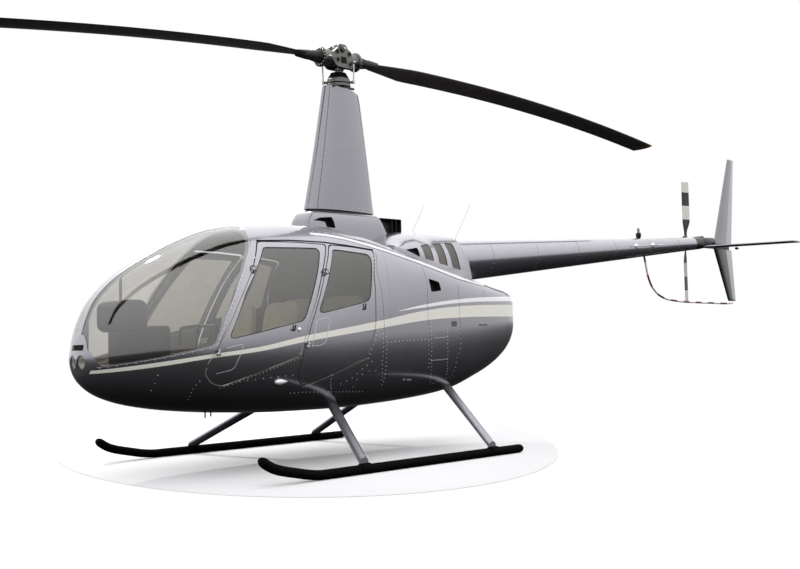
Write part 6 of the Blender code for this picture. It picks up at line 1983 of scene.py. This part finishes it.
@dataclass
class Tail:
    """Boom, gearbox, fins, stabiliser, guard, beacon and aerials."""

    start: tuple[float, float] = (-1.08, 1.668)
    end: tuple[float, float] = (-5.80, 2.076)
    radii: tuple[float, float] = (0.2087, 0.0724)
    gearbox_end: float = -6.10
    rotor: tuple[float, float] = (-5.88, 2.125)
    saddle_x: float = -1.35
    bay_ends: tuple[float, ...] = (-1.75, -2.45, -3.15, -3.85, -4.55, -5.20, -5.62)
    beacon_x: float = -4.48
    beacon_z: tuple[float, float] = (2.003, 2.1325)
    guard_path: tuple[Point, ...] = (
        (-4.645, -0.03, 1.960), (-4.655, -0.05, 1.885), (-4.685, -0.055, 1.795), (-4.717, -0.06, 1.696),
        (-4.750, -0.06, 1.610), (-4.806, -0.06, 1.525), (-4.885, -0.06, 1.461), (-4.955, -0.06, 1.420),
        (-5.120, -0.06, 1.375), (-5.400, -0.06, 1.350), (-5.750, -0.06, 1.340), (-6.150, -0.05, 1.335),
        (-6.450, -0.03, 1.330), (-6.560, 0.0, 1.340))

    def axis(self, x: Array) -> Array:
        """Points of the boom's axis at x."""
        slope = (self.end[1] - self.start[1]) / (self.end[0] - self.start[0])
        x = np.asarray(x, float)
        return np.stack([x, np.zeros_like(x), self.start[1] + (x - self.start[0]) * slope], -1)

    def reach(self, x: Array) -> Array:
        """Radius of the boom at x, straight from root to end."""
        share = (np.asarray(x, float) - self.start[0]) / (self.end[0] - self.start[0])
        return self.radii[0] + (self.radii[1] - self.radii[0]) * share

    def build(self) -> None:
        """Make every piece of the tail."""
        x = np.linspace(self.start[0], self.end[0], 80)
        boom = tube(self.axis(x), self.reach(x), 72)
        clear = POD.top(boom.points[:, 0]) + 0.002
        boom.points[:, 2] = np.where(boom.points[:, 0] > self.saddle_x, np.maximum(boom.points[:, 2], clear),
                                     boom.points[:, 2])
        piece("tail_boom_skin", boom, Finish.UPPER_PAINT, replaces=("tail_boom",))
        self.build_boom_details()
        self.build_gearbox()
        self.build_fins()
        self.build_guard()
        self.build_rod_aerial()

    def around(self, x: float, turn: Array, lift: float = 0.0) -> tuple[Array, Array]:
        """Points round the boom at x with their normals."""
        normal = np.stack([np.zeros_like(turn), np.cos(turn), np.sin(turn)], -1)
        return self.axis(np.full_like(turn, x)) + normal * (self.reach(x) + lift), normal

    def build_boom_details(self) -> None:
        """Lap seams with rivets every bay, and the riveted seam along the underside."""
        seams, dots = [], []
        turn = full_turn(48)
        for x in self.bay_ends:
            seams.append(swept(*self.around(x, turn), bead_profile(0.004, 0.0006, 3), closed=True))
            dots += [self.around(x + shift, turn[::2]) for shift in (-0.016, 0.016)]
        x = np.arange(-1.80, -5.60, -0.045)
        low = self.axis(x) - UP * self.reach(x)[:, None]
        dots.append((low, np.broadcast_to(-UP, low.shape)))
        piece("boom_lap_seams", joined(seams), Finish.SEAM)
        heads = rivets(*map(np.concatenate, zip(*dots)), radius=0.0035, height=0.0015)
        piece("boom_rivets", heads, Finish.RIVET)

    def build_gearbox(self) -> None:
        """Gearbox housing with its output case, end cap and the mount plate of the fins."""
        x, z = self.rotor
        start, tail = self.axis(self.end[0] - 0.0003), self.axis(self.gearbox_end)
        length = float(np.linalg.norm(tail - start))
        body = ((0.0, 0.069), (0.004, 0.071), (length * 0.5, 0.0645), (length - 0.02, 0.059),
                (length - 0.004, 0.056), (length, 0.050))
        case = ((0.0, 0.045), (0.10, 0.044), (0.12, 0.042), (0.150, 0.039), (0.157, 0.036), (0.160, 0.0))
        parts = [lathe(body, start, tail - start, 40), lathe(case, (x, 0.0, z), (0, -1, 0), 36)]
        sleeve = np.linspace(-5.622, self.end[0] + 0.0005, 12)
        parts.append(tube(self.axis(sleeve), self.reach(sleeve) + 0.0008, 72))
        piece("gearbox_housing", joined(parts), Finish.BLACK_PAINT, replaces=("tail_gearbox",))
        plate = superbox((-6.50, -0.014, 2.020), (-6.00, 0.014, 2.085), 0.004)
        piece("fin_mount_plate", plate, Finish.BLACK_PAINT)

    def build_fins(self) -> None:
        """Upper and lower fins and the stabiliser, each with a rounded tip."""
        upright, flat = (0, 1, 0), (0, 0, 1)
        for name, node_name, finish, thickness, up, root, tip in (
                ("upper_fin", "upper_fin", Finish.UPPER_FIN_PAINT, 0.115, upright,
                 (-6.145, -6.58, 0.0, 2.0853), (-6.56, -6.71, 0.0, 3.21)),
                ("lower_fin", "lower_fin", Finish.LOWER_FIN_PAINT, 0.115, upright,
                 (-6.145, -6.58, 0.0, 2.0197), (-6.45, -6.64, 0.0, 1.36)),
                ("stabiliser", "horizontal_stabiliser", Finish.MAST_PAINT, 0.12, flat,
                 (-5.80, -6.10, 0.040, 2.030), (-6.12, -6.40, 1.05, 2.030))):
            mesh = self.fin(np.array(root), np.array(tip), thickness, up)
            piece(f"{name}_skin", mesh, finish, replaces=(node_name,), sharp=50.0)

    @staticmethod
    def fin(root: Array, tip: Array, thickness: float, up: Sequence[float]) -> MeshData:
        """A tapered fin between sections given by the x of both edges, y and z, its last part rounded off."""
        share, shrink = tip_shares()
        even, start, least = 40, 0.985, 0.75
        s = np.concatenate([np.linspace(0.0, start, even), start + (1.0 - start) * share[1:]])
        squeeze = np.concatenate([np.ones(even), shrink[1:]])
        front, back, y, z = root[:, None] + (tip - root)[:, None] * s
        centres = np.stack([front - 0.27 * (front - back), y, z], -1)
        chord = (front - back) * (least + (1.0 - least) * squeeze)
        return wing(centres, chord, thickness * squeeze, 0.0 * s, FORWARD, up)

    def build_guard(self) -> None:
        """Guard tube painted in red and white bands, and the beacon."""
        path = resampled(self.smooth(np.asarray(self.guard_path)), 0.02)
        bands = np.array_split(path, 16)
        red, white = [], []
        for i, band in enumerate(bands):
            run = band if i == len(bands) - 1 else np.vstack([band, bands[i + 1][:1]])
            (red if i % 2 == 0 else white).append(tube(run, 0.0118, 14))
        piece("guard_red_bands", joined(red), Finish.RED, replaces=("tail_rotor_guard",))
        piece("guard_white_bands", joined(white), Finish.WHITE)
        foot = ((0.0, 0.022), (0.07, 0.022), (0.085, 0.030), (0.126, 0.030), (0.129, 0.027), (0.130, 0.0))
        lamp = ((0.0, 0.016), (0.040, 0.016), (0.052, 0.012), (0.057, 0.006), (0.0575, 0.0))
        x, (low, high) = self.beacon_x, self.beacon_z
        piece("beacon_base", lathe(foot, (x, 0.0, low), UP, 28), Finish.BLACK_PAINT, replaces=("beacon",))
        piece("beacon_glass", lathe(lamp, (x, 0.0, high), UP, 28), Finish.BEACON)

    def build_rod_aerial(self) -> None:
        """Horizontal rod beside the boom on two domed posts, and the lamp under the stabiliser."""
        domes = []
        for x, z in ((-4.255, 1.959), (-4.604, 1.987)):
            foot = float(self.reach(x)) - 0.006
            dome = ((0.0, 0.030), (0.010, 0.028), (0.018, 0.020), (0.023, 0.010), (0.024, 0.0))
            domes.append(lathe(dome, (x, foot, z), (0, 1, 0), 24))
        bar = tube([(-4.150, 0.132, 1.951), (-4.604, 0.130, 1.987), (-4.800, 0.128, 2.002)], 0.0045, 10)
        piece("rod_aerial", joined(domes) + bar, Finish.WHITE)
        lamp = ((0.0, 0.0), (0.010, 0.014), (0.035, 0.018), (0.065, 0.012), (0.078, 0.0))
        piece("stabiliser_lamp", lathe(lamp, (-6.14, 0.30, 2.004), (-1, 0, 0), 20), Finish.BEACON)

    @staticmethod
    def smooth(corners: Array, steps: int = 12) -> Array:
        """A Catmull-Rom curve through points: each span is a cubic whose slopes are half the outer chords."""
        pts = np.vstack([2 * corners[0] - corners[1], corners, 2 * corners[-1] - corners[-2]])
        t = np.linspace(0.0, 1.0, steps, endpoint=False)[None, :, None]
        a, b, c, d = (pts[k:len(pts) - 3 + k][:, None] for k in range(4))
        spans = 0.5 * (2 * b + (c - a) * t + (2 * a - 5 * b + 4 * c - d) * t ** 2
                       + (3 * b - a - 3 * c + d) * t ** 3)
        return np.vstack([spans.reshape(-1, 3), corners[-1:]])


@dataclass
class TailRotor:
    """Two-blade tail rotor with its hub, black and white bands on the blades."""

    centre: Point = (-5.88, -0.245, 2.125)
    radius: float = 0.762
    chord: float = 0.125
    pitch: float = math.radians(14.0)

    def build(self) -> None:
        """Hub, teeter block and blades."""
        x, y, z = self.centre
        hub = [lathe(((0.0, 0.020), (0.110, 0.020), (0.114, 0.016)),
                     (x, y + 0.0847, z), (0, -1, 0), 28),
               superbox((x - 0.025, y - 0.022, z - 0.07), (x + 0.025, y + 0.022, z + 0.07), 0.008),
               lathe(((-0.034, 0.012), (0.034, 0.012)), (x, y, z), (1, 0, 0), 16)]
        piece("tail_rotor_hub_block", joined(hub), Finish.STEEL, Body.TAIL_ROTOR, ("tail_rotor_hub",))
        share, shrink = tip_shares()
        for sign, word in ((1.0, "up"), (-1.0, "down")):
            r = np.concatenate([np.linspace(0.0703, 0.20, 10), np.linspace(0.22, self.radius - 0.012, 24),
                                self.radius - 0.012 * (1.0 - share[1:])])
            grow = np.clip((r - 0.10) / 0.17, 0.0, 1.0)
            chord = 0.046 + (self.chord - 0.046) * grow * grow * (3.0 - 2.0 * grow)
            thick = np.concatenate([np.interp(r[:34], (0.07, 0.27), (0.34, 0.11)), 0.11 * shrink[1:]])
            centres = np.array(self.centre) + np.outer(sign * r, [0.0, 0.0, 1.0])
            blade = wing(centres, chord, thick, np.full_like(r, self.pitch), (sign, 0, 0), (0, -1, 0))
            piece(f"tail_blade_skin_{word}", blade, Finish.BANDED, Body.TAIL_ROTOR, (f"tail_blade_{word}",),
                  sharp=50.0)


@dataclass
class Gear:
    """Skid tubes, streamlined legs with fairings at the belly, and clamps."""

    skid_y: float = 1.15
    radius: float = 0.035
    path: Outline = (
        (-0.95, 0.035), (0.90, 0.035), (1.20, 0.037), (1.42, 0.075), (1.585, 0.118), (1.700, 0.187))
    legs: tuple[tuple[Point, Point], ...] = (
        ((0.50, 0.45, 0.46), (0.785, 1.15, 0.085)), ((-0.80, 0.45, 0.53), (-0.590, 1.15, 0.085)))
    section: tuple[float, float] = (0.044, 0.034)

    def build(self) -> None:
        """Make both sides."""
        for side in Side:
            self.build_skid(side)
            for leg, word in zip(self.legs, ("front", "rear")):
                self.build_leg(side, leg, word)

    def build_skid(self, side: Side) -> None:
        """Skid tube with plugged ends."""
        flat = np.array([(x, self.skid_y, z) for x, z in self.path])
        line = resampled(Tail.smooth(flat, 16), 0.02)
        line[:, 2] = np.maximum(line[:, 2], self.radius)
        ends = np.array([0.55, 0.90, 1.0])
        radius = np.full(len(line), self.radius)
        radius[:3], radius[-3:] = radius[:3] * ends, radius[-3:] * ends[::-1]
        side_piece(side, "skid_tube", tube(line, radius, 28), Finish.SKID_BLACK, node_name="skid")

    def build_leg(self, side: Side, leg: Path, word: str) -> None:
        """Leg of streamlined section with a fairing where it leaves the belly and a clamp on the skid."""
        top, foot = np.array(leg[0]), np.array(leg[1])
        turn = full_turn(32)
        ring = np.stack([self.section[0] * np.cos(turn) * (1.0 + 0.15 * np.cos(turn)), 0.0 * turn,
                         self.section[1] * np.sin(turn)], -1)
        s = np.linspace(0.0, 1.0, 20)
        grow = 1.0 + 0.10 * (1.0 - s) ** 2
        rings = (top + (foot - top) * s[:, None])[:, None] + ring[None] * grow[:, None, None]
        side_piece(side, f"{word}_leg_strut", loft(rings), Finish.LEG_PAINT, node_name=f"{word}_leg")
        band = ((-0.045, 0.0365), (-0.040, 0.0395), (0.040, 0.0395), (0.045, 0.0365))
        clamp = [lathe(band, (foot[0], self.skid_y, self.radius + 0.0048), FORWARD, 32)]
        for shift in (-0.032, 0.032):
            spot = (foot[0] + shift, self.skid_y + 0.018, self.radius + 0.034)
            clamp.append(lathe(((0.0, 0.008), (0.010, 0.008), (0.012, 0.004)), spot, (0, 0.5, 0.866), 6))
        side_piece(side, f"{word}_skid_clamp", joined(clamp), Finish.SKID_BLACK)


@dataclass
class Interior:
    """Floor, bulkhead, console, padded seats and controls, as far as they show through the windows."""

    dial_x: float = 1.986
    needle_x: tuple[float, float] = (1.9828, 1.9834)
    dial_rows: tuple[float, float] = (1.13, 1.20)
    dial_reach: float = 0.17
    dials_a_row: int = 5
    stick_x: float = 1.44
    grip_y: float = 0.26

    def build(self) -> None:
        """Make every piece of the inside."""
        self.build_console()
        self.build_seats()
        self.build_controls()

    def build_console(self) -> None:
        """Pedestal and the wide rounded hood over the instruments."""
        pedestal = superbox((1.76, -0.16, 0.5655), (2.02, 0.16, 1.10), 0.03)
        neck = superbox((1.96, -0.15, 0.66), (2.12, 0.15, 1.12), 0.04)
        hood = superbox((1.985, -0.25, 1.06), (2.165, 0.25, 1.285), 0.06, 8)
        piece("console_pedestal_and_hood", pedestal + neck + hood, Finish.HOOD, replaces=("console",))
        dials, faces = [], []
        bezel = ((0.0, 0.030), (0.006, 0.030), (0.006, 0.026), (0.001, 0.025))
        near, far = self.needle_x
        for z in self.dial_rows:
            for y in np.linspace(-self.dial_reach, self.dial_reach, self.dials_a_row):
                dials.append(lathe(bezel, (self.dial_x, y, z), -FORWARD, 24))
                faces.append(superbox((near, y - 0.001, z), (far, y + 0.001, z + 0.018), 0.0002))
        piece("instrument_bezels", joined(dials), Finish.BLACK_PAINT)
        piece("instrument_needles", joined(faces), Finish.WHITE)

    def build_seats(self) -> None:
        """Front seats and rear bench as crowned cushions with sewn channels, seat boxes, and finishes for
        kept parts.
        """
        for side in Side:
            seat = self.cushion((0.92, 0.07, 0.772), (1.36, 0.53, 0.872), 0.018)
            back = self.cushion((0.86, 0.07, 0.80), (0.975, 0.53, 1.285), 0.020, True)
            back = turned(back, (0.92, 0.3, 0.82), (0, 1, 0), -9.0)
            made = side_piece(side, "front_seat_pad", seat + back, Finish.LEATHER, node_name="front_seat",
                              sharp=60.0)
            seat = self.cushion((0.20, 0.02, 0.792), (0.66, 0.56, 0.900), 0.018)
            back = self.cushion((0.165, 0.02, 0.84), (0.285, 0.56, 1.34), 0.020, True)
            made = piece(f"rear_seat_pad_{side.word}", (seat + back).sided(side), Finish.LEATHER,
                         replaces=("rear_bench",), sharp=60.0)
        for name, low, high in (("front_seat_box", (0.86, -0.56, 0.565), (1.36, 0.56, 0.775)),
                                ("rear_seat_box", (0.165, -0.60, 0.565), (0.62, 0.60, 0.795))):
            piece(f"{name}_shell", superbox(low, high, 0.02), Finish.PLASTIC, replaces=(name,))
        for name, finish in (("cabin_floor", Finish.CARPET), ("rear_bulkhead", Finish.LINING),
                             ("pedals_left", Finish.BLACK_PAINT), ("pedals_right", Finish.BLACK_PAINT),
                             ("engine_block", Finish.ENGINE), ("engine_mount", Finish.BLACK_PAINT),
                             ("aerial_front", Finish.WHIP), ("aerial_rear", Finish.WHIP)):
            dress(name, finish)

    @staticmethod
    def cushion(low: Sequence[float], high: Sequence[float], crown: float, upright: bool = False) -> MeshData:
        """A crowned cushion: a superellipsoid whose big faces bulge and carry three sewn channels.

        The bulge is crown (1 - u^2)(1 - v^2), the sides are drawn in by half the crown, and each channel
        lowers the face by a Gaussian 9 mm wide and 7 mm deep.

        Args:
            low: Lowest corner.
            high: Highest corner.
            crown: Height of the bulge.
            upright: Whether the big faces look along X, as on a backrest.

        Returns:
            The closed mesh.
        """
        lo, hi = np.asarray(low, float), np.asarray(high, float)
        half, middle = (hi - lo) / 2.0, (hi + lo) / 2.0
        lat = np.linspace(-math.pi / 2.0, math.pi / 2.0, 61)[1:-1, None]
        lon = full_turn(96)[None]
        channels, width, depth, squareness, across = (0.25, 0.5, 0.75), 0.009, 0.007, 0.38, 1
        circle = np.stack(np.broadcast_arrays(np.cos(lon), np.sin(lon), np.sin(lat)), -1)
        form = np.sign(circle) * np.abs(circle) ** squareness
        form[..., :2] *= np.cos(lat)[..., None] ** squareness
        if upright:
            form = form[..., [2, 1, 0]]
        thin = 0 if upright else 2
        wide = [k for k in range(3) if k != thin]
        u, v, w = form[..., wide[0]], form[..., wide[1]], form[..., thin]
        bulge = crown * (1.0 - u ** 2) * (1.0 - v ** 2)
        place = (form[..., across] + 1.0) * half[across]
        sewn = sum(np.exp(-((place - 2.0 * half[across] * share) / width) ** 2) for share in channels)
        drawn = np.array([0.0 if k == thin else crown / 2.0 for k in range(3)])
        points = form * (half - drawn)
        points[..., thin] = w * (half[thin] - crown) + np.sign(w) * (bulge - depth * sewn * w ** 2)
        return loft(points + middle)

    def build_controls(self) -> None:
        """Centre stick with its T bar and collective lever."""
        x, y = self.stick_x, self.grip_y
        stick = rounded_path([(1.50, 0.0, 0.56), (1.46, 0.0, 0.95), (x, 0.0, 1.08)], 0.08)
        bar = rounded_path([(x, -y, 1.05), (x, -0.24, 1.09), (x, 0.0, 1.10), (x, 0.24, 1.09),
                            (x, y, 1.05)], 0.03)
        grips = [tube([(x, at, 1.06), (x, at, 0.96)], 0.014, 16) for at in (-y, y)]
        whole = joined([tube(stick, 0.014, 16), tube(bar, 0.012, 16), *grips])
        piece("centre_stick", whole, Finish.BLACK_PAINT, replaces=("cyclic_stick",))
        lever = rounded_path([(0.92, 0.02, 0.82), (1.10, 0.02, 0.88), (1.22, 0.02, 0.98)], 0.05)
        piece("collective_stick", tube(lever, 0.012, 16), Finish.BLACK_PAINT, replaces=("collective_lever",))


# Stage: camera, floor and light


@dataclass
class Studio:
    """A white sweep with a pale disc under the machine, soft sky light, and the photograph's camera."""

    eye: Point = (5.6717, 6.7907, 0.9563)
    yaw: float = -2.3226
    pitch: float = 0.0538
    roll: float = -0.0228
    focal_px: float = 1029.47
    picture_width: float = 800.0
    sensor_mm: float = 36.0
    disc: tuple[float, float, float, float, float] = (-0.709, -1.679, 4.222, 2.288, -119.0)
    sky: Outline = (
        (0.0, 0.0), (0.30, 0.01), (0.42, 0.05), (0.485, 0.16), (0.497, 0.35), (0.503, 1.00), (0.56, 1.15),
        (0.75, 1.55), (1.0, 1.95))
    tint: tuple[float, float, float] = (0.98, 0.985, 1.0)
    sun: Point = (-0.126, -0.695, 0.705)
    sun_strength: float = 1.6
    sun_degrees: float = 3.0

    def build(self) -> None:
        """Camera, floor, world and lamps."""
        self.build_camera()
        self.build_floor()
        self.build_world()
        self.build_lamps()
        bpy.context.scene.view_settings.view_transform = "Standard"

    def build_camera(self) -> None:
        """The camera at the photograph's place: yaw and pitch give its look, roll turns it about that."""
        look = np.array([math.cos(self.yaw) * math.cos(self.pitch), math.sin(self.yaw) * math.cos(self.pitch),
                         math.sin(self.pitch)])
        right = normed(np.cross(look, UP))
        up = np.cross(right, look)
        c, s = math.cos(self.roll), math.sin(self.roll)
        right, up = c * right + s * up, -s * right + c * up
        data = bpy.data.cameras.new("camera")
        data.sensor_width = self.sensor_mm
        data.lens = self.focal_px * self.sensor_mm / self.picture_width
        camera = bpy.data.objects.new("camera", data)
        matrix = np.eye(4)
        matrix[:3, 0], matrix[:3, 1], matrix[:3, 2] = right, up, -look
        matrix[:3, 3] = np.array(self.eye) + SHIFT
        camera.matrix_world = Matrix(matrix.tolist())
        bpy.context.scene.collection.objects.link(camera)
        bpy.context.scene.camera = camera

    def build_floor(self) -> None:
        """A pale disc, thin as paper, that the skids stand on."""
        x, y, long, short, turned_by = self.disc
        turn = full_turn(128)
        a = math.radians(turned_by)
        u, v = long * np.cos(turn), short * np.sin(turn)
        ring = np.stack([x + u * math.cos(a) - v * math.sin(a), y + u * math.sin(a) + v * math.cos(a),
                         np.zeros_like(turn)], -1)
        disc = raw_object("floor", loft(np.stack([ring - [0, 0, 0.004], ring - [0, 0, 0.0005]])))
        made, tree, shader = new_material("pale_floor")
        shader.inputs["Base Color"].default_value = linear("#DCDCDC")
        shader.inputs["Roughness"].default_value = 1.0
        shader.inputs["Specular IOR Level"].default_value = 0.0
        disc.data.materials.append(made)
        disc.visible_glossy = False
        disc.visible_diffuse = False

    def build_world(self) -> None:
        """White behind the machine; as light, a bright sky that falls off to a dark ground."""
        world = bpy.data.worlds.new("studio")
        bpy.context.scene.world = world
        world.use_nodes = True
        tree = world.node_tree
        tree.nodes.clear()
        height = node(tree, "SeparateXYZ", (node(tree, "TexCoord", output="Generated"),), 2)
        share = node(tree, "MapRange", {"Value": height, "From Min": -1.0, "From Max": 1.0})
        ramp = node(tree, "ValToRGB", (share,))
        elements = ramp.node.color_ramp.elements
        for _ in self.sky[2:]:
            elements.new(0.5)
        for element, (at, value) in zip(elements, self.sky):
            element.position = at
            element.color = (*(value * part for part in self.tint), 1.0)
        light = node(tree, "Background", {"Color": ramp})
        white = node(tree, "Background", {"Color": (1.0, 1.0, 1.0, 1.0)})
        seen = node(tree, "LightPath", output="Is Camera Ray")
        node(tree, "OutputWorld", (node(tree, "MixShader", (seen, light, white)),))

    def build_lamps(self) -> None:
        """A hazy sun beyond the machine's far side; its mirror image is the bright spot on the windscreen."""
        data = bpy.data.lights.new("sun", "SUN")
        data.energy = self.sun_strength
        data.angle = math.radians(self.sun_degrees)
        lamp = bpy.data.objects.new("sun", data)
        lamp.rotation_mode = "QUATERNION"
        lamp.rotation_quaternion = Vector(self.sun).to_track_quat("Z", "Y")
        bpy.context.scene.collection.objects.link(lamp)


def main() -> None:
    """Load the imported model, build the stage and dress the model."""
    logging.basicConfig(level=logging.INFO, format="%(message)s")
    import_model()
    Studio().build()
    for part in (Cabin, SkinDetails, Cowling, Mast, MainRotor, Tail, TailRotor, Gear, Interior):
        part().build()


if __name__ == "__main__":
    main()
